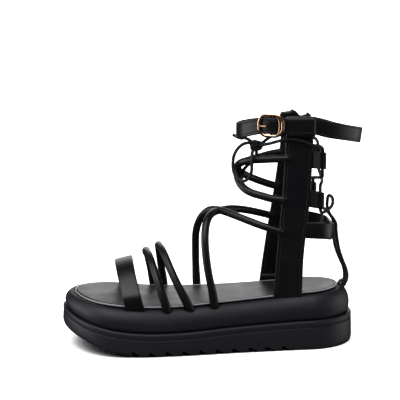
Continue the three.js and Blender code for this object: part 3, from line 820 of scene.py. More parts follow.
@dataclass
class Sole:
    """The ridged outsole, the padded cover round the platform, and the insole."""

    length: float = 240.0
    toe_cap: float = 38.0
    heel_cap: float = 28.0
    toe_tuck: float = 0.17
    points: int = 400
    insole_thickness: float = 2.7
    bulge: float = 11.4
    rim_depth: float = 2.2
    rim_inner: float = 2.9
    first_lug: float = -70.5
    lug_pitch: float = 15.0
    lug_count: int = 10
    lug_slot: float = 9.4
    lug_depth: float = 5.0
    gap: float = 0.3
    # Where the cover stands out furthest, as a share of its height, and the flatness of its shoulder.
    widest: float = 0.34
    shoulder: float = 1.12
    # How deep a strap's hollow is, how wide its ring is, and how far down the cover gives.
    hollow: float = 1.5
    hollow_ring: float = 1.7
    padding: float = 12.0
    # The bead's diameter, and how far it sinks towards the toe.
    bead: float = 1.5
    bead_sunk: float = 1.2
    # Columns: x, half-width on the outer side, half-width on the inner side.
    last: tuple[Row, ...] = (
        (-120, 36.2, 39.4),
        (-95, 41.3, 42.3),
        (-60, 42.9, 39.9),
        (-20, 40.0, 33.6),
        (20, 34.6, 27.8),
        (60, 30.5, 25.6),
        (95, 27.6, 26.0),
        (120, 25.3, 27.3),
    )
    # Columns: x, height of the insole's top, of the cover's seam and of the tread.
    profile: tuple[Row, ...] = (
        (-132, 51.5, 37.0, 19.5),
        (-118, 50.0, 31.9, 14.6),
        (-100, 47.3, 27.2, 8.6),
        (-80, 44.9, 23.4, 3.2),
        (-58, 43.3, 21.3, 0),
        (-40, 43.0, 20.9, 0),
        (-20, 43.5, 21.3, 0),
        (20, 45.9, 23.7, 0),
        (60, 48.7, 25.6, 0),
        (95, 51.2, 26.6, 0),
        (136, 52.8, 27.2, 0),
    )
    # Straps let into the cover: the lines they follow, each with the radius of its hollow.
    entries: list[tuple[list[Vector], float]] = field(default_factory=list)

    def __post_init__(self) -> None:
        """Prepares the tables as functions of x."""
        self.outer, self.inner = column(self.last, 1), column(self.last, 2)
        self.deck, self.seam, self.tread = (column(self.profile, k) for k in (1, 2, 3))

    def middle(self, x: float) -> float:
        """The centre line's Y."""
        return (self.inner(x) - self.outer(x)) / 2

    def edge(self, angle: float) -> Vector:
        """A point of the insole's edge.

        Args:
            angle: the turn from the toe along the outer side and back.

        Returns:
            The point, at height 0.
        """
        x = -self.length / 2 * math.cos(angle)
        toe = (-self.length / 2 + self.toe_cap - x) / self.toe_cap
        heel = (x - self.length / 2 + self.heel_cap) / self.heel_cap
        factor = math.sqrt(max(0.0, 1 - max(toe, heel, 0.0) ** 2))
        half = (self.inner(x) + self.outer(x)) / 2
        side = 1 if math.sin(angle) < 0 else -1
        return Vector((x, self.middle(x) + side * half * factor, 0))

    def ring(self, grow: float, height: Height) -> Ring:
        """The insole's outline moved out, at a height given as a function of x.

        Args:
            grow: how far out.
            height: the height.

        Returns:
            The ring's points.
        """
        step = 2 * math.pi / self.points
        made = []
        for i in range(self.points):
            here = self.edge(i * step)
            along = (self.edge((i + 0.5) * step) - self.edge((i - 0.5) * step)).normalized()
            toward = max(0.0, -here.x / (self.length / 2))
            out = grow * (1 - self.toe_tuck * toward**6)
            x, y = here.x + along.y * out, here.y - along.x * out
            made.append(Vector((x, y, height(x))))
        return made

    def fill(self, ring: Ring, height: Height) -> list[Ring]:
        """Rings that close a sole surface from its centre line out to a ring.

        Args:
            ring: the outer ring.
            height: the surface's height as a function of x.

        Returns:
            The rings, innermost first, without the outer one.
        """
        spine = [self.edge(2 * math.pi * i / self.points).x for i in range(self.points)]
        rings = []
        for t in (0.0, 0.25, 0.5, 0.72, 0.88, 0.97):
            flat = [Vector((x, self.middle(x), 0)).lerp(p, t) for x, p in zip(spine, ring)]
            rings.append([Vector((p.x, p.y, height(p.x))) for p in flat])
        return rings

    def layer(self, name: str, rows: Sequence[Contour], smooth: float) -> bpy.types.Object:
        """A closed sole layer.

        Args:
            name: the piece's name.
            rows: its outlines, bottom up.
            smooth: the sharpest angle that is shaded smooth, in degrees.

        Returns:
            The piece.
        """
        rings = [self.ring(g, h) for g, h in rows]
        bottom = self.fill(rings[0], rows[0][1])
        top = self.fill(rings[-1], rows[-1][1])
        return skin(name, [*bottom, *rings, *reversed(top)], smooth=smooth)

    def build_outsole(self) -> bpy.types.Object:
        """The rubber sole: a lip above a groove, a plain wall and a notched tread."""
        tread, seam = self.tread, self.seam
        lower = [(11.2, 0.0), (12.5, 0.35), (13.2, 1.0), (13.8, 2.3), (14.15, 4.2)]
        upper = [
            (13.75, 7.6), (13.65, 6.6), (13.45, 6.2), (12.95, 5.95), (12.8, 5.65), (12.95, 5.35),
            (13.4, 5.1), (13.6, 4.5), (13.6, 1.9), (13.4, 1.0), (12.8, 0.3), (11.9, 0.0),
        ]  # fmt: skip
        rows: list[Contour] = [(g, lambda x, rise=rise: tread(x) + rise) for g, rise in lower]
        rows += [(g, lambda x, drop=drop: seam(x) - drop) for g, drop in upper]
        sole = self.layer("outsole_rubber_body", rows, 30.0)
        bars = [self.notch(i) for i in range(self.lug_count)]
        deselect()
        for bar in bars:
            bar.select_set(True)
        bpy.context.view_layer.objects.active = bars[0]
        bpy.ops.object.join()
        cutter = bars[0]
        deselect()
        sole.select_set(True)
        bpy.context.view_layer.objects.active = sole
        cut = sole.modifiers.new("notches", "BOOLEAN")
        cut.operation, cut.solver, cut.object = "DIFFERENCE", "EXACT", cutter
        bpy.ops.object.modifier_apply(modifier=cut.name)
        bpy.data.objects.remove(cutter)
        mend(sole, 30.0)
        return sole

    def notch(self, index: int) -> bpy.types.Object:
        """A cutting bar for one notch: steep towards the toe, a long slope towards the heel.

        Args:
            index: the notch's number from the toe.

        Returns:
            The bar.
        """
        steep = self.first_lug + index * self.lug_pitch
        heel = steep + self.lug_slot
        floor = self.tread(steep + self.lug_slot / 2)
        roof = floor + self.lug_depth
        below, reach = 5, 80.0  # how far the bar stands out under and beside the sole
        outline = [
            (steep, floor - below), (heel, floor - below), (heel, self.tread(heel)),
            (steep + 1.1, roof), (steep + 0.3, roof - 0.3), (steep, roof - 1.0),
        ]  # fmt: skip
        ends = [[Vector((x, y, z)) for x, z in outline] for y in (-reach, reach)]
        centre = sum(ends[0], Vector()) / len(outline)
        poles = [[Vector((centre.x, y, centre.z))] * len(outline) for y in (-reach, reach)]
        return skin(f"notch_{index}", [poles[0], *ends, poles[1]])

    def build_cover(self) -> bpy.types.Object:
        """The padded leather round the platform, pressed in a little where straps enter."""
        seam, deck = self.seam, self.deck
        low = lambda x: seam(x) + self.gap
        rim = lambda x: deck(x) - self.rim_depth
        widest = lambda x: seam(x) + self.widest * (deck(x) - seam(x))
        rows: list[Contour] = [
            (8.6, low),
            (9.9, lambda x: low(x) + 0.35),
            (10.8, lambda x: low(x) + 1.4),
            (11.2, lambda x: low(x) + 3.4),
        ]
        steps = 16
        for i in range(steps + 1):
            angle = math.pi / 2 * i / steps
            grow = self.rim_inner + (self.bulge - self.rim_inner) * max(math.cos(angle), 0.0) ** self.shoulder
            rise = math.sin(angle) ** self.shoulder
            rows.append((grow, lambda x, rise=rise: widest(x) + (rim(x) - widest(x)) * rise))
        rows += [
            (1.9, lambda x: rim(x) - 0.3),
            (1.5, lambda x: rim(x) - 1.2),
            (1.4, lambda x: deck(x) - self.insole_thickness - self.gap),
        ]
        cover = self.layer("platform_cover_leather", rows, SOFT)
        points = np.array([tuple(v.co) for v in cover.data.vertices]) / MM
        press = np.zeros(len(points))
        for line, radius in self.entries:
            for place in line:
                away = np.linalg.norm(points - np.array(tuple(place)), axis=1) - radius
                press = np.maximum(press, self.hollow * np.clip(1 - away / self.hollow_ring, 0, 1) ** 1.5)
        seat = np.array([deck(x) - self.insole_thickness for x in points[:, 0]])
        points[:, 2] -= np.where(points[:, 2] > seat - self.padding, press, 0)
        cover.data.vertices.foreach_set("co", (points * MM).reshape(-1))
        cover.data.update()
        return cover

    def build_insole(self) -> bpy.types.Object:
        """The lined insole with a softly rounded edge."""
        deck = self.deck
        under = lambda x: deck(x) - self.insole_thickness
        rows: list[Contour] = [
            (-1.1, under),
            (-0.9, lambda x: deck(x) - 1.7),
            (-0.6, lambda x: deck(x) - 1.1),
            (-0.8, lambda x: deck(x) - 0.95),
            (-1.1, lambda x: deck(x) - 0.9),
            (-1.5, lambda x: deck(x) - 0.35),
            (-2.2, deck),
        ]
        return self.layer("insole_lining_sheet", rows, SOFT)

    def build_bead(self) -> bpy.types.Object:
        """The insole's rolled edge, a thin bead beside a pressed groove."""
        inset, sill = 0.25, 0.55
        sunk_from, sunk_over = -85, 25
        sunk = lambda at: self.bead_sunk * min(max((sunk_from - at) / sunk_over, 0.0), 1.0)
        height = lambda at: self.deck(at) - sill - sunk(at)
        lines = [self.ring(x - inset, lambda at, z=z: height(at) + z) for x, z in circle(self.bead, 12)]
        rings = [[line[i] for line in lines] for i in range(self.points)]
        return skin("insole_rolled_edge", rings, loop=True)

    def build(self, wardrobe: Wardrobe) -> None:
        """Makes and dresses the sole's pieces.

        Args:
            wardrobe: the finishes.
        """
        finish_piece(self.build_outsole(), wardrobe.rubber, Slot.RUBBER, "outsole")
        finish_piece(self.build_cover(), wardrobe.cover, Slot.LEATHER, "platform_cover")
        finish_piece(self.build_insole(), wardrobe.lining, Slot.LINING, "insole")
        # The bead's pale finish paints the highlight along the insole's edge.
        finish_piece(self.build_bead(), wardrobe.painted_highlight_edge, Slot.LINING)


# ---------------------------------------------------------------- straps


@dataclass
class RoundStrap:
    """A leather strap rolled round a cord core, with its joining ridge on the inside."""

    name: str
    nodes: tuple[str, ...]
    route: tuple[Row, ...] = ()
    arched: dict | None = None
    diameter: float = 7.0
    flat: float = 0.97
    first: Row = (1.0, 0.0, 0.2)
    reach: Row = (0.0, 0.0)
    # The strap is squeezed wider where it enters the cover.
    foot_height: float = 47.0
    foot_swell: float = 0.12
    foot_spread: float = 9.0

    def line(self) -> list[Vector]:
        """The strap's stations, run on at its sewn ends."""
        if self.arched:
            return arch(**self.arched)
        rows = [Vector(r) for r in self.route]
        start, end = self.reach
        if start:
            rows[0] = rows[0] + (rows[0] - rows[1]).normalized() * start
        if end:
            rows[-1] = rows[-1] + (rows[-1] - rows[-2]).normalized() * end
        return smooth_route([tuple(r) for r in rows], STRAP_STEP)

    def build(self, wardrobe: Wardrobe) -> None:
        """Makes and dresses the strap.

        Args:
            wardrobe: the finishes.
        """
        places = self.line()
        sides = carried(places, Vector(self.first))
        above = lambda i: (places[i].z - self.foot_height) / self.foot_spread
        swell = lambda i: 1 + self.foot_swell * math.exp(-(above(i) ** 2))
        rings = sweep(places, circle(self.diameter, 28, self.flat), sides, swell=swell)
        finish_piece(skin(self.name, rings), wardrobe.upper, Slot.LEATHER, *self.nodes)


@dataclass
class FlatStrap:
    """A flat strap of folded leather, sewn near its edges."""

    name: str
    nodes: tuple[str, ...]
    places: list[Vector]
    across: Callable[[float], Vector]
    width: float
    thickness: float
    margin: float = 0.0
    crown: float = 0.0
    sewn: tuple[float, float] = (0.0, 1.0)
    faces: tuple[int, ...] = (1,)

    def build(self, wardrobe: Wardrobe) -> None:
        """Makes and dresses the strap and its stitches.

        Args:
            wardrobe: the finishes.
        """
        last = len(self.places) - 1
        across = lambda i: self.across(i / last)
        section = slab(self.width, self.thickness, self.margin, self.crown)
        rings = sweep(self.places, section, across, caps=((0.0, 0.35), (0.97, 0.3)))
        finish_piece(skin(self.name, rings, smooth=SOFT), wardrobe.upper, Slot.LEATHER, *self.nodes)
        if not self.margin:
            return
        ways = headings(self.places)
        lines = []
        for face in self.faces:
            for edge in (-1, 1):
                line = []
                for i in range(int(self.sewn[0] * last), int(self.sewn[1] * last) + 1):
                    side = across(i)
                    side = (side - ways[i] * side.dot(ways[i])).normalized()
                    out = ways[i].cross(side) * face
                    at = self.places[i] + side * edge * (self.width / 2 - self.margin)
                    line.append((at + out * (self.thickness / 2 - STITCH_SUNK), out))
                lines.append(line)
        finish_piece(Seam().build(f"{self.name}_stitches", lines), wardrobe.thread, Slot.LEATHER)


# ---------------------------------------------------------------- side panels


@dataclass
class SidePanel:
    """An upright panel: two leathers sewn together, folded over at the top into a sleeve."""

    side: Side
    node: str
    # Columns: z, centre x, centre y, width.
    rows: tuple[Row, ...]
    sleeve_bottom: float
    sleeve_top: float
    room: float
    thickness: float = 2.8
    sheet: float = 1.0
    margin: float = 3.0
    # Heights at which round straps are sewn in between the leathers, at the front edge,
    # how far each pushes the leather out, and how far that reaches up and across.
    sewn_in: tuple[float, ...] = ()
    sewn_bulge: float = 2.5
    sewn_up: float = 3.7
    sewn_across: float = 5.0
    # How much wider than the panel the sleeve is.
    ease: float = 0.0
    # Ruffles of the sleeve's fold and pleats of its flap: x, size, half-width.
    ruffles: tuple[Row, ...] = ()
    pleats: tuple[Row, ...] = ()

    def __post_init__(self) -> None:
        """Prepares the panel's columns."""
        self.x, self.y, self.width = (column(self.rows, k) for k in (1, 2, 3))

    def build_body(self) -> bpy.types.Object:
        """The flat panel, from inside the cover to the fold."""
        low, high = self.rows[0][0], self.sleeve_top - 1.2
        rings = []
        steps = 160
        for i in range(steps + 1):
            z = low + (high - low) * i / steps
            section = slab(self.width(z), self.thickness, self.margin)
            swell = sum(math.exp(-(((z - at) / self.sewn_up) ** 2)) for at in self.sewn_in)
            ring = []
            for u, v in section:
                bulge = self.sewn_bulge * swell * math.exp(-(u + self.width(z) / 2) / self.sewn_across)
                ring.append(Vector((self.x(z) + u, self.y(z) + v * (1 + bulge / (self.thickness / 2)), z)))
            rings.append(ring)
        ends = []
        for ring, z in ((rings[0], low), (rings[-1], high)):
            ends.append([Vector((self.x(z), self.y(z), z))] * len(ring))
        return skin(f"{self.node}_leather", [ends[0], *rings, ends[1]], smooth=SOFT)

    def build_sleeve(self) -> bpy.types.Object:
        """The panel's end, folded outwards and down over the ankle strap and tucked in below."""
        out, up, low = self.side.value, self.sleeve_top, self.sleeve_bottom
        flap = self.thickness / 2 + self.room + self.sheet / 2
        half = self.sheet / 2
        turn = min(2.4, self.room / 2)
        curl, root = 1.5, 0.95
        bends = [(math.cos(a), math.sin(a)) for a in (math.pi / 2 * i / 5 for i in range(6))]
        line = [(0.9, up - 6), (root, up - 3)]
        line += [(root + turn * (1 - c), up - half - turn + turn * s) for c, s in bends]
        line += [(flap - turn + turn * s, up - half - turn + turn * c) for c, s in bends]
        line += [(flap + 0.08, up - 7), (flap + 0.1, (up + low) / 2), (flap + 0.05, low + 6)]
        line += [(flap - curl + curl * c, low + half + curl - curl * s) for c, s in bends]
        line += [(self.thickness / 2 + 0.9, low + half), (self.thickness / 2 - 0.4, low + half + 0.3)]
        at = self.rows[-1][0]
        x, y, width = self.x(at), self.y(at), self.width(at) + self.ease
        fold = 9  # how far down from the top the ruffles fade out
        rings = []
        for place, share in edge_stations(x - width / 2, x + width / 2, 48):
            lift, pleat = (
                sum(size * math.exp(-(((place - at) / spread) ** 2)) for at, size, spread in waves)
                for waves in (self.ruffles, self.pleats)
            )
            ring = []
            for w, z in ribbon(line, self.sheet * max(share, 0.02)):
                high = min(max((z - up + fold) / fold, 0.0), 1.0)
                front = min(max((w - self.thickness / 2) / 2, 0.0), 1.0)
                ring.append(Vector((place, y + out * (w + pleat * front), z + lift * high**1.5)))
            rings.append(ring)
        return skin(f"{self.node}_sleeve", rings, smooth=SOFT)

    def seams(self) -> list[list[tuple[Vector, Vector]]]:
        """Lines of stitches near the panel's front and rear edges, on both faces."""
        lines = []
        bottom, steps = 52, 60
        for face in (-1, 1):
            out = Vector((0, face, 0))
            top = self.sleeve_bottom - 2 if face == self.side.value else self.sleeve_top - 8
            for edge in (-1, 1):
                line = []
                for i in range(steps + 1):
                    z = bottom + (top - bottom) * i / steps
                    x = self.x(z) + edge * (self.width(z) / 2 - self.margin)
                    y = self.y(z) + face * (self.thickness / 2 - STITCH_SUNK)
                    line.append((Vector((x, y, z)), out))
                lines.append(line)
        at = self.rows[-1][0]
        half = self.width(at) / 2 - 1.6
        flap = self.y(at) + self.side.value * (self.thickness / 2 + self.room + self.sheet)
        z = self.sleeve_bottom + 3.4
        hem = [Vector((self.x(at) + half * s, flap, z)) for s in (-1, -0.5, 0, 0.5, 1)]
        lines.append([(p, Vector((0, self.side.value, 0))) for p in hem])
        return lines

    def build(self, wardrobe: Wardrobe) -> None:
        """Makes and dresses the panel's pieces.

        Args:
            wardrobe: the finishes.
        """
        finish_piece(self.build_body(), wardrobe.upper, Slot.LEATHER, self.node)
        finish_piece(self.build_sleeve(), wardrobe.upper, Slot.LEATHER)
        finish_piece(Seam().build(f"{self.node}_stitches", self.seams()), wardrobe.thread, Slot.LEATHER)
        if self.side is Side.INNER:
            finish_piece(self.build_lining_edge(), wardrobe.lining, Slot.LEATHER)

    def build_lining_edge(self) -> bpy.types.Object:
        """The turned top edge of the heel lining, a narrow raised band inside the panel."""
        z, width, thickness = 52.6, 3.2, 1.5
        half = self.width(z) / 2 - 0.4
        ends = [Vector((self.x(z) + s * half, self.y(z) - thickness, z)) for s in (-1, 1)]
        rings = sweep(even(ends, 1.5), slab(width, thickness, crown=0.2), lambda i: Vector((0, 0, 1)))
        return skin("lining_edge_band", rings, smooth=SOFT)


# ---------------------------------------------------------------- lace tabs


@dataclass
class LaceTab:
    """A strip of leather folded round into an eye for the lace and sewn shut."""

    node: str
    at: Row
    turn: float
    height: float
    drop: float
    length: float = 14.0
    thickness: float = 2.6
    eye: float = 2.2

    def build(self, wardrobe: Wardrobe) -> None:
        """Makes and dresses the tab and its stitches.

        Args:
            wardrobe: the finishes.
        """
        layer = self.thickness / 2
        middle = self.eye + layer / 2
        centre = self.length - self.eye - layer
        neck = math.asin(min(layer / 2 / middle, 1.0))
        steps = 30
        bends = [math.pi - neck - (2 * math.pi - 2 * neck) * i / steps for i in range(steps + 1)]
        shank = [(-1.2, layer / 2), (centre * 0.3, layer / 2), (centre * 0.55, layer / 2)]
        line: list[Row] = [*shank, *((centre + middle * math.cos(a), middle * math.sin(a)) for a in bends)]
        line += [(a, -b) for a, b in reversed(shank)]
        c, s = math.cos(math.radians(self.turn)), math.sin(math.radians(self.turn))
        x0, y0, z0 = self.at

        def place(a: float, b: float, z: float) -> Vector:
            """A point given along, across and up the tab."""
            return Vector((x0 + a * c - b * s, y0 + a * s + b * c, z0 + z - self.drop * a / self.length))

        rings = []
        for z, share in edge_stations(-self.height / 2, self.height / 2, 8):
            rings.append([place(a, b, z) for a, b in ribbon(line, layer * 0.94 * max(share, 0.02))])
        leather = skin(f"{self.node}_leather", rings, smooth=SOFT)
        finish_piece(leather, wardrobe.upper, Slot.LEATHER, self.node)
        lines = []
        for face in (-1, 1):
            out = place(0, face, 0) - place(0, 0, 0)
            heights = [self.height * (k / 4 - 0.5) * 0.86 for k in range(5)]
            lines.append([(place(centre * 0.5, face * layer * 1.02, z), out) for z in heights])
        stitches = Seam(pitch=2.8, stitch=2.0).build(f"{self.node}_stitches", lines)
        finish_piece(stitches, wardrobe.thread, Slot.LEATHER)


# ---------------------------------------------------------------- buckle


@dataclass
class Buckle:
    """A rounded rectangular frame of round wire, a bar across it and a bent prong."""

    left: Row = (43.6, -31.1)
    right: Row = (63.9, -38.2)
    z: float = 203.3
    height: float = 18.8
    # The frame's wire, its thickness through as a share of its width, and the corners' radius.
    wire: float = 2.9
    flat: float = 0.82
    corner: float = 7.7
    bar_inward: float = 2.0
    bar: float = 2.0
    rail: float = 1.5
    prong: float = 1.25
    prong_route: tuple[Row, ...] = (
        (51.7, -31.7, 202.8),
        (50.9, -33.6, 202.8),
        (49.6, -35.6, 202.8),
        (46.4, -35.3, 202.8),
        (43.8, -33.9, 202.8),
        (42.7, -33.3, 202.7),
    )

    def __post_init__(self) -> None:
        """Works out the frame's middle, its direction and half its width."""
        near, far = Vector((*self.left, self.z)), Vector((*self.right, self.z))
        self.middle, self.way = (near + far) / 2, (far - near).normalized()
        self.half = (far - near).length / 2

    def place(self, along: float, out: float, up: float) -> Vector:
        """A point of the buckle's own plane.

        Args:
            along: how far towards the heel from its middle.
            out: how far behind it.
            up: how far above its middle.

        Returns:
            The point.
        """
        back = Vector((-self.way.y, self.way.x, 0))
        return self.middle + self.way * along + back * out + Vector((0, 0, up))

    def build_frame(self) -> bpy.types.Object:
        """A torus whose quarters are moved apart into a rounded rectangle."""
        deselect()
        bpy.ops.mesh.primitive_torus_add(
            major_segments=64, minor_segments=20, major_radius=self.corner, minor_radius=self.wire / 2
        )
        piece = bpy.context.object
        piece.name = piece.data.name = "buckle_frame_wire"
        for v in piece.data.vertices:
            x, y, z = v.co
            along = x + math.copysign(self.half - self.corner, x + 1e-4)
            up = y + math.copysign(self.height / 2 - self.corner, y + 1e-4)
            v.co = self.place(along, z * self.flat, up) * MM
        mend(piece, 60.0)
        return piece

    def build_wire(self, name: str, line: Sequence[Row], diameter: float) -> bpy.types.Object:
        """A thin bar that joins the frame's top and bottom.

        Args:
            name: the piece's name.
            line: its points from the top to the middle, in the frame's own plane.
            diameter: its thickness.

        Returns:
            The piece.
        """
        points = [*line, *((along, out, -up) for along, out, up in reversed(line[:-1]))]
        places = smooth_route([tuple(self.place(*p)) for p in points], WIRE_STEP)
        return skin(name, sweep(places, circle(diameter, 16), carried(places, Vector((1, 0, 0)))))

    def build_prong(self) -> bpy.types.Object:
        """The pin, bent over the bar and resting on the frame."""
        places = smooth_route(self.prong_route, 0.4)
        caps = ((0.0, 0.7), (0.5, 0.6), (0.8, 0.35))
        section = circle(self.prong, 16, 0.85)
        return skin("buckle_prong_pin", sweep(places, section, carried(places, Vector((0, 0, 1))), caps=caps))

    def build(self, wardrobe: Wardrobe) -> None:
        """Makes and dresses the frame, its bar, the rail and the prong.

        Args:
            wardrobe: the finishes.
        """
        reach = self.height / 2
        bar = ((0, 0.2, reach), (0, self.bar_inward, reach - 1.4), (0, self.bar_inward, 0))
        # The sewn end of the strap is folded round the rail, which is bowed like the frame.
        right = self.half
        rail = ((right - 7.0, 0, reach - 0.3), (right - 4.0, -0.4, reach - 2.4), (right - 2.6, -0.6, 0))
        finish_piece(self.build_frame(), wardrobe.metal, Slot.METAL, "buckle_frame")
        finish_piece(self.build_wire("buckle_bar", bar, self.bar), wardrobe.metal, Slot.METAL)
        finish_piece(self.build_wire("buckle_rail", rail, self.rail), wardrobe.metal, Slot.METAL)
        finish_piece(self.build_prong(), wardrobe.metal, Slot.METAL, "buckle_prong")


# ---------------------------------------------------------------- lace


@dataclass
class Lace:
    """A round cord from the heel loop through the tabs to a bow at the front of the ankle."""

    diameter: float = 3.0
    loop_at: Row = (125.2, 51.5)
    loop_eye: float = 2.3
    loop_wall: float = 1.5
    loop_width: float = 5.0
    knot_at: Row = (43.4, -10.0, 181.9)
    knot_size: Row = (12.6, 8.6, 11.0)
    # A last short wrap through the knot's middle, from its middle.
    crossing: tuple[Row, ...] = ((-2.6, -1.6, -2.4), (-1.2, -2.4, -0.4), (0.6, -2.4, 0.6), (2.4, -1.4, 2.6))
    outer: tuple[Row, ...] = ()
    inner: tuple[Row, ...] = ()
    bow: tuple[Row, ...] = ()
    end_front: tuple[Row, ...] = ()
    end_rear: tuple[Row, ...] = ()

    def cord(self, name: str, route: Sequence[Row]) -> tuple[bpy.types.Object, list[Vector]]:
        """A length of cord along a route.

        Args:
            name: the piece's name.
            route: the points it goes through.

        Returns:
            The piece and its stations.
        """
        places = smooth_route(route, CORD_STEP)
        caps = ((0.0, 0.7), (0.45, 0.62), (0.8, 0.4))
        rings = sweep(places, circle(self.diameter, 14), carried(places, Vector((0.3, 1, 0.2))), caps=caps)
        return skin(name, rings), places

    def free(self, name: str, route: Sequence[Row], far_end: str, wardrobe: Wardrobe, *nodes: str) -> None:
        """A free length of cord.

        Args:
            name: the piece's name.
            route: the points it goes through.
            far_end: what is on its far end; not used.
            wardrobe: the finishes.
            nodes: the frame's nodes that it stands for.
        """
        piece, places = self.cord(name, route)
        finish_piece(piece, wardrobe.cord, Slot.CORD, *nodes)

    def build_knot(self) -> bpy.types.Object:
        """The bow's knot: the cord wound over and under itself, pulled tight."""
        middle = Vector(self.knot_at)
        wide, deep, tall = ((size - self.diameter) / 2 for size in self.knot_size)
        places = []
        steps = 120
        for i in range(steps):
            a = 2 * math.pi * i / steps
            swell = 0.75 + 0.25 * math.cos(3 * a)
            x, z = wide * swell * math.cos(2 * a), tall * swell * math.sin(2 * a)
            places.append(middle + Vector((x, 0.9 * deep * math.sin(3 * a), z)))
        ways = headings(places, True)
        sides = [(Vector((0, 1, 0)) - w * w.y) for w in ways]
        rings = sweep(places, circle(self.diameter * 1.12, 14), lambda i: sides[i], loop=True)
        wraps = skin("lace_knot_wraps", rings, loop=True)
        places = smooth_route([tuple(middle + Vector(p)) for p in self.crossing], 0.7)
        rings = sweep(places, circle(self.diameter * 1.25, 14), carried(places, Vector((0, 1, 0))))
        crossing = skin("lace_knot_crossing", rings)
        deselect()
        crossing.select_set(True)
        wraps.select_set(True)
        bpy.context.view_layer.objects.active = wraps
        bpy.ops.object.join()
        return wraps

    def build_heel_loop(self) -> bpy.types.Object:
        """The leather loop behind the insole, a strip curled into a ring."""
        x, z = self.loop_at
        radius = self.loop_eye + self.loop_wall / 2
        steps = 40
        turns = [2 * math.pi * i / steps for i in range(steps)]
        places = [Vector((x + radius * math.cos(a), 0, z + radius * math.sin(a))) for a in turns]
        section = slab(self.loop_width, self.loop_wall)
        rings = sweep(places, section, lambda i: Vector((0, 1, 0)), loop=True)
        return skin("heel_loop_strip", rings, loop=True, smooth=SOFT)

    def build(self, wardrobe: Wardrobe) -> None:
        """Makes and dresses the lace, its knot, bow and ends.

        Args:
            wardrobe: the finishes.
        """
        outer, _ = self.cord("lace_outer_half", self.outer)
        finish_piece(outer, wardrobe.cord, Slot.CORD, "lace")
        inner, _ = self.cord("lace_inner_half", self.inner)
        finish_piece(inner, wardrobe.cord, Slot.CORD)
        finish_piece(self.build_heel_loop(), wardrobe.upper, Slot.LEATHER, "heel_loop")
        finish_piece(self.build_knot(), wardrobe.cord, Slot.CORD, "lace_knot")
        self.free("lace_bow_loop_cord", self.bow, "knot", wardrobe, "lace_bow_loop")
        self.free("lace_end_front_cord", self.end_front, "bare", wardrobe, "lace_end_front")
        self.free("lace_end_rear_cord", self.end_rear, "bare", wardrobe, "lace_end_rear")


# ---------------------------------------------------------------- studio


@dataclass
class Studio:
    """A pale floor, soft lights and the camera."""

    azimuth: float = -4.0
    elevation: float = 11.0
    distance: float = 1.4
    lens: float = 138.9
    target: Row = (-6.2, 0.0, 130.9)

    def build_camera(self) -> None:
        """Places the camera."""
        a, e = math.radians(self.azimuth), math.radians(self.elevation)
        back = Vector((math.sin(a) * math.cos(e), -math.cos(a) * math.cos(e), math.sin(e)))
        deselect()
        bpy.ops.object.camera_add(location=Vector(self.target) * MM + back * self.distance)
        camera = bpy.context.object
        camera.data.lens = self.lens
        camera.data.sensor_width = 36.0
        camera.rotation_euler = (-back).to_track_quat("-Z", "Y").to_euler()
        camera.data.clip_start, camera.data.clip_end = 0.05, 60.0
        bpy.context.scene.camera = camera

    def softbox(self, name: str, place: Row, aim: Row, size: float, power: float) -> None:
        """Adds a square soft light.

        Args:
            name: its name.
            place: where it hangs, in metres.
            aim: the point it faces, in metres.
            size: its side, in metres.
            power: its power in watts.
        """
        bpy.ops.object.light_add(type="AREA", location=place)
        light = bpy.context.object
        light.name = name
        light.data.shape = "SQUARE"
        light.data.size = size
        light.data.energy = power
        light.rotation_euler = (Vector(aim) - Vector(place)).to_track_quat("-Z", "Y").to_euler()
        light.visible_camera = False

    def build(self) -> None:
        """Makes the floor, the lights and the world."""
        deselect()
        bpy.ops.mesh.primitive_plane_add(size=40.0)
        floor = bpy.context.object
        floor.name = "studio_floor"
        material, tree, output = fresh_material("glowing_floor_with_painted_contact_shade")
        # It glows like a product table lit from below, so shadows on it stay faint; near the sole, ambient
        # occlusion dims its glow and darkens its colour, a painted contact shade that makes it dark under the
        # sole.
        open_floor = add_node(tree, "ShaderNodeAmbientOcclusion", {"samples": 8, "Distance": 0.03})
        # Painted contact shade: the glow fades where the sole is near.
        glow_with_painted_shade = add_node(
            tree,
            "ShaderNodeMapRange",
            {"From Min": 0.3, "From Max": 0.65, "To Max": 0.9},
            {"Value": open_floor.outputs["AO"]},
        )
        # Painted contact shade: the floor's colour turns near black where the sole covers it.
        painted_contact_shade_colour = add_node(
            tree,
            "ShaderNodeMapRange",
            {"From Min": 0.16, "From Max": 0.4, "To Min": 0.02, "To Max": 0.9},
            {"Value": open_floor.outputs["AO"]},
        )
        shader = add_node(
            tree,
            "ShaderNodeBsdfPrincipled",
            {"Roughness": 0.9, "Specular IOR Level": 0.0, "Emission Color": (1.0, 1.0, 1.0, 1)},
            {"Base Color": painted_contact_shade_colour.outputs[0], "Emission Strength": glow_with_painted_shade.outputs[0]},
        )
        tree.links.new(shader.outputs[0], output.inputs["Surface"])
        floor.data.materials.append(material)
        floor.visible_glossy = False
        world = bpy.context.scene.world or bpy.data.worlds.new("studio")
        bpy.context.scene.world = world
        world.use_nodes = True
        world.node_tree.nodes.clear()
        settings = {"Color": (0.9, 0.95, 1.0, 1), "Strength": 0.035}
        sky = add_node(world.node_tree, "ShaderNodeBackground", settings)
        out = add_node(world.node_tree, "ShaderNodeOutputWorld")
        world.node_tree.links.new(sky.outputs[0], out.inputs["Surface"])
        bpy.ops.object.light_add(type="SUN", location=(0, 0, 3))
        sun = bpy.context.object
        sun.name = "overhead_panel"
        sun.data.energy = 3.2
        sun.data.angle = math.radians(56)
        sun.rotation_euler = (math.radians(26), math.radians(-14), 0)
        self.softbox("rear_softbox", (0.1, 1.5, 0.4), (0, 0, 0.08), 1.1, 8)
        self.softbox("left_softbox", (-1.35, 0.0, 0.25), (0, 0, 0.1), 1.1, 14)
        self.softbox("right_softbox", (1.2, 0.1, 0.1), (0.1, 0, 0.1), 0.9, 5)
        bpy.context.scene.view_settings.view_transform = "Standard"


# ---------------------------------------------------------------- assembly

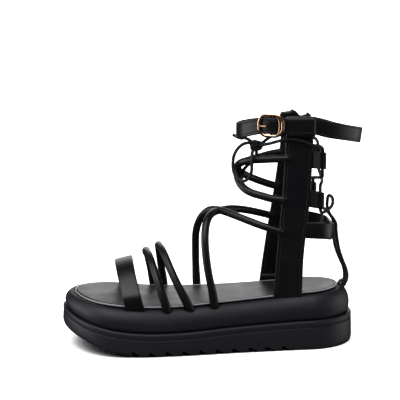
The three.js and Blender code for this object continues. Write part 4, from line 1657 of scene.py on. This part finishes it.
TOE_STRAP_ARCH = {
    "near": (-65.4, -47.0, 35.4), "top": (-76.0, 76.6), "far": (-69.8, 44.4, 37.0),
    "fullness": 0.95, "tuck": 1.6, "belly": 3.0,
}  # fmt: skip
FOREFOOT_FRONT = {
    "near": (-37.4, -46.2, 33.8), "top": (-55.5, 83.7), "far": (-46.4, 43.6, 35.8),
    "lean": 1.3, "tuck": 1.7, "skew": 4.4,
}  # fmt: skip
FOREFOOT_REAR = {
    "near": (-14.8, -44.0, 33.8), "top": (-43.9, 89.0), "far": (-36.8, 40.8, 35.8),
    "lean": 1.05, "tuck": 1.7, "skew": 4.4,
}  # fmt: skip

INSTEP_OVER: tuple[Row, ...] = (
    (-6.2, 37.5, 35), (-7.4, 36.8, 57), (-8, 34, 79), (-8, 28.4, 95), (-5.8, 21.2, 106.6),
    (-2, 13.4, 115), (3.2, 5.8, 120.6), (9, -1.4, 122.2), (16.4, -8.4, 121.2), (25.4, -16, 119),
    (34.9, -22.5, 116.1), (42.8, -26.5, 113.6), (50.8, -29.2, 111.1), (61.3, -30.8, 107.9),
)  # fmt: skip
INSTEP_UNDER: tuple[Row, ...] = (
    (4.6, -38.9, 35), (2.4, -40.4, 53), (-1.5, -40.4, 72.6), (-3.7, -38, 89.8), (-4.2, -34.4, 103),
    (-3, -28.6, 112.8), (-0.2, -21.2, 118.6), (4, -13, 121.2), (9.8, -3.4, 121.4), (21.6, 9.6, 120.6),
    (33, 17.5, 118.4), (44.2, 23, 115.4), (54.6, 26.8, 112.2), (59.2, 28.4, 110.7),
)  # fmt: skip
ANKLE_FRONT_HIGH: tuple[Row, ...] = (
    (66.2, -30.2, 173.2), (55.8, -28.4, 172.6), (47.2, -26, 171.9), (38.8, -21, 170.7),
    (32.2, -15, 168.4), (28.4, -8, 165), (27.8, 0, 160.4), (30.9, 8, 155.3), (39.1, 16, 149.6),
    (48.9, 22, 144.7), (58, 26, 140.8), (63.7, 28.1, 138.8),
)  # fmt: skip
ANKLE_FRONT_LOW: tuple[Row, ...] = (
    (64.2, -30.2, 136.2), (56, -29.4, 137), (47.2, -27.6, 139.2), (38.6, -24, 141.4),
    (32.2, -19, 144.6), (28.3, -13, 149.2), (26.8, -6, 154.8), (26.9, 1, 160), (30.9, 8, 163.1),
    (40.8, 16, 164.9), (52.6, 23, 166.8), (61.2, 26.8, 168.3), (67.2, 28.4, 169),
)  # fmt: skip
PANEL_OUTER: tuple[Row, ...] = (
    (38, 70, -32.8, 26.4), (60, 71.2, -32.4, 25.4), (82, 72.4, -32, 24.6), (100, 73.9, -31.6, 24.8),
    (140, 77.6, -30.8, 25.2), (188, 79.9, -30.6, 24.8), (210, 80.6, -30.6, 24.8),
)  # fmt: skip
PANEL_INNER: tuple[Row, ...] = (
    (38, 63.6, 29.4, 26.4), (60, 66.2, 29.2, 26.2), (100, 71.6, 29, 25.8), (140, 77.4, 28.8, 24.8),
    (188, 83.2, 28.8, 24.4), (203, 84.2, 28.8, 24.4),
)  # fmt: skip
BAND_ROUTE: tuple[Row, ...] = (
    (87.5, -31, 108), (98, -29.6, 107), (105.6, -26, 105.9), (110.8, -19.6, 104), (113, -11, 102.4),
    (113.6, -2, 101.6), (113.5, 8, 101.6), (113, 17, 102.2), (110.6, 23.8, 103.2), (105, 27.8, 104.4),
    (97, 29.2, 106), (86.1, 29.3, 107.6),
)  # fmt: skip
ANKLE_ROUTE: tuple[Row, ...] = (
    (86, -35.65, 202.3), (76, -35.65, 202.3), (67, -35.7, 202.8), (62.6, -35.45, 202.9),
    (58.6, -35.7, 202.9), (54, -35.2, 202.9), (49, -32.2, 202.7), (45.2, -28.8, 202.2),
    (41.8, -26, 201.2), (36, -20.4, 199.2), (30.2, -12, 196.6), (27.2, 0, 194.8), (30.6, 12, 194.4),
    (39, 21.4, 194.6), (52, 28.4, 195), (66, 31.5, 195.5), (80, 31.55, 195.6), (96, 31.5, 195.4),
    (106.6, 29.8, 193.7), (119, 25.2, 190.6), (130.6, 16.4, 188.9), (138, 5.8, 188.7),
    (138.6, -5.4, 189.9), (132, -16.4, 192.4), (123, -24, 194.8), (113, -29.6, 197),
    (104.6, -32.2, 198.8), (98.4, -33.1, 200.6), (93.4, -33.35, 202), (84, -33.35, 202.2),
    (74, -33.35, 202.3), (65, -33.1, 202.7), (57.6, -32.7, 202.7),
)  # fmt: skip
LACE_OUTER: tuple[Row, ...] = (
    (125.2, 0.6, 51.5), (125.4, -3.2, 51.6), (128, -5, 54), (129, -4.6, 60), (127.6, -4, 66.6),
    (124.9, -3.8, 73), (120.9, -4.6, 85), (118.8, -6.4, 95), (117.6, -8, 103), (117.1, -8.8, 109),
    (114.6, -9.4, 113.8), (111, -10.4, 118.6), (108.4, -11.6, 125.6), (108.3, -12.8, 131.6),
    (108.6, -13.8, 134.9), (109.7, -15.2, 136.7), (111.8, -16.6, 135.2), (112.6, -17.8, 131.2),
    (111, -19.4, 127.2), (107.4, -21.4, 124.6), (104, -23.4, 123), (101.6, -24.9, 122.7),
    (100.3, -25.7, 125), (100.2, -25.8, 129), (100.2, -25.8, 136), (99.8, -24.8, 144.2),
    (100.8, -20, 147.2), (103.4, -10, 148), (105, 0, 148.6), (106, 12, 149), (106.4, 21.6, 150.6),
    (105.4, 26, 154.6), (104.8, 26.6, 161), (104.8, 26.6, 168), (104.9, 26.8, 176.8),
    (103.8, 29.8, 180.6), (100.6, 32.8, 182.8), (96, 34, 184), (84, 33, 184.6), (74, 32.4, 184.8),
    (66, 30.4, 184.8), (60, 22, 184.6), (52, 5, 183), (46.4, -6.4, 182.4),
)  # fmt: skip
LACE_INNER: tuple[Row, ...] = (
    (125.2, -0.6, 51.5), (125.4, 3.2, 51.6), (127.6, 5, 54), (127.9, 4.6, 60), (126.5, 4, 66.6),
    (123.6, 3.8, 73), (119, 4.6, 85), (117.5, 6.2, 95), (117.2, 7.8, 102), (117.3, 8.8, 108.2),
    (114.8, 11, 113.4), (109.4, 16, 118.6), (103.6, 22.4, 119.8), (100.5, 24, 124), (100.3, 24, 134),
    (100.4, 23.6, 143), (99.6, 19, 147), (99.8, 9, 148.8), (101, -1, 150.6), (102.2, -12, 152.8),
    (102.4, -20.6, 155.4), (101.6, -24.7, 160), (101.6, -25.1, 170), (101.5, -25.6, 179.6),
    (99.2, -30.6, 183.2), (95.4, -34, 184), (88, -34.3, 187), (79.8, -34.2, 190), (72.7, -34.2, 191.3),
    (65, -33.4, 190.4), (60, -29.4, 188.4), (54.4, -23.4, 185.8), (46.4, -13, 182.4),
)  # fmt: skip
BOW_LOOP: tuple[Row, ...] = (
    (43, -10, 183.6), (40.3, -10, 184.9), (36.2, -10, 184.4), (32.6, -10.4, 183.8), (28.7, -11, 181.4),
    (25.4, -11.5, 177.4), (23.3, -11.8, 172.6), (22.5, -12.2, 166.4), (22.8, -13, 160.6),
    (24.4, -15.4, 155.7), (27.7, -20, 152.9), (31.9, -24.8, 152.5), (35.7, -26.6, 155.9),
    (37.7, -27.5, 161.2), (37.9, -27.7, 166.8), (37.9, -27, 172.6), (38.6, -23.4, 177),
    (40.8, -16.4, 179.8), (42.6, -12.4, 180.8),
)  # fmt: skip
END_FRONT: tuple[Row, ...] = (
    (43.4, -9, 182.4), (38.8, -4, 185.6), (35.4, 0.8, 186.9), (33.9, 5.8, 186.8), (33.7, 10.8, 185.6),
    (32.2, 15.4, 184.8), (29, 18.6, 185.6), (25.6, 20.2, 187.4),
)  # fmt: skip
END_REAR: tuple[Row, ...] = (
    (44, -10, 179), (43.2, -11.6, 172.4), (39.4, -10.4, 167), (34.8, -7, 162), (32.6, -2.6, 157.4),
    (32, 0, 150.6),
)  # fmt: skip


class Sandal:
    """The whole sandal."""

    def __init__(self) -> None:
        """Lists the sub-assemblies."""
        self.wardrobe = Wardrobe()
        self.lace = Lace(
            outer=LACE_OUTER, inner=LACE_INNER, bow=BOW_LOOP, end_front=END_FRONT, end_rear=END_REAR
        )
        toe_line, toe_width = arch(**TOE_STRAP_ARCH), 16.2
        self.straps: list[RoundStrap | FlatStrap] = [
            FlatStrap(
                "toe_strap_leather",
                ("toe_strap",),
                toe_line,
                lambda s: Vector((1, 0, 0.25 * math.sin(math.pi * s))),
                toe_width,
                2.4,
                crown=0.25,
            ),
            RoundStrap("forefoot_strap_front_tube", ("forefoot_strap_front",), arched=FOREFOOT_FRONT),
            RoundStrap("forefoot_strap_rear_tube", ("forefoot_strap_rear",), arched=FOREFOOT_REAR),
            RoundStrap("instep_strap_over_tube", ("instep_straps",), INSTEP_OVER, reach=(0, 4.5)),
            RoundStrap("instep_strap_under_tube", (), INSTEP_UNDER, reach=(0, 4.5)),
            RoundStrap(
                "ankle_front_strap_high_tube",
                ("ankle_front_straps",),
                ANKLE_FRONT_HIGH,
                first=UPWARDS,
                reach=(4, 5),
            ),
            RoundStrap("ankle_front_strap_low_tube", (), ANKLE_FRONT_LOW, first=UPWARDS, reach=(4, 5)),
            FlatStrap(
                "heel_band_leather",
                ("heel_band",),
                smooth_route(BAND_ROUTE, STRAP_STEP),
                lambda s: Vector((0.1 * math.sin(math.pi * s), 0, 1)),
                14.8,
                2.4,
                crown=0.2,
            ),
            FlatStrap(
                "ankle_strap_leather",
                ("ankle_strap",),
                smooth_route(ANKLE_ROUTE, STRAP_STEP),
                # It flares a little where it passes behind the heel.
                lambda s: Vector((0.14 * math.exp(-(((s - 0.69) / 0.08) ** 2)), 0, 1)),
                14.2,
                2.0,
                margin=2.2,
                faces=(-1, 1),
            ),
        ]
        entries: list[tuple[list[Vector], float]] = []
        for strap in self.straps:
            if isinstance(strap, RoundStrap):
                entries.append(([p for p in strap.line() if p.z < ENTRY_HEIGHT], strap.diameter / 2 + 0.5))
        # The flat strap presses like a row of thin cords side by side.
        side = toe_width / 2 - 0.7
        for along in np.linspace(-side, side, 13):
            entries.append(([p + Vector((along, 0, 0)) for p in toe_line if p.z < ENTRY_HEIGHT], 1.5))
        self.sole = Sole(entries=entries)
        self.panels = [
            SidePanel(
                Side.OUTER,
                "side_panel_outer",
                PANEL_OUTER,
                193.7,
                210.9,
                5.0,
                sewn_in=(173.2, 136.2, 107.9),
                ease=0.8,
                pleats=((91.6, 0.7, 0.7), (93.4, -0.5, 0.8)),
            ),
            SidePanel(
                Side.INNER,
                "side_panel_inner",
                PANEL_INNER,
                186.8,
                204.4,
                2.7,
                sewn_in=(138.8, 169.0, 110.7),
                ease=4.0,
                ruffles=(
                    (72.0, 2.2, 2.5), (76.5, 2.6, 3.0), (81.3, 4.2, 2.6), (85.0, 2.2, 2.0), (89.5, -1.2, 3.0),
                    (95.6, 1.8, 1.2),
                ),
            ),
        ]
        self.tabs = [
            LaceTab("lace_tab_outer_lower", (90.9, -30.7, 136.6), 28, 15.6, 3.4),
            LaceTab("lace_tab_outer_upper", (92.8, -30.8, 171.6), 33, 15.2, 2.0),
            LaceTab("lace_tab_inner_lower", (91.0, 28.9, 136.6), -28, 15.6, 3.4),
            LaceTab("lace_tab_inner_upper", (94.6, 28.8, 170.2), -12, 15.2, 2.0),
        ]
        self.buckle = Buckle()

    def build(self) -> None:
        """Makes every piece, the cords first."""
        self.lace.build(self.wardrobe)
        self.sole.build(self.wardrobe)
        for part in (*self.straps, *self.panels, *self.tabs):
            part.build(self.wardrobe)
        self.buckle.build(self.wardrobe)


def main() -> None:
    """Builds the scene and logs each piece's face count."""
    logging.basicConfig(level=logging.INFO, format="%(message)s")
    deselect()
    studio = Studio()
    studio.build_camera()
    Sandal().build()
    studio.build()


if __name__ == "__main__":
    main()
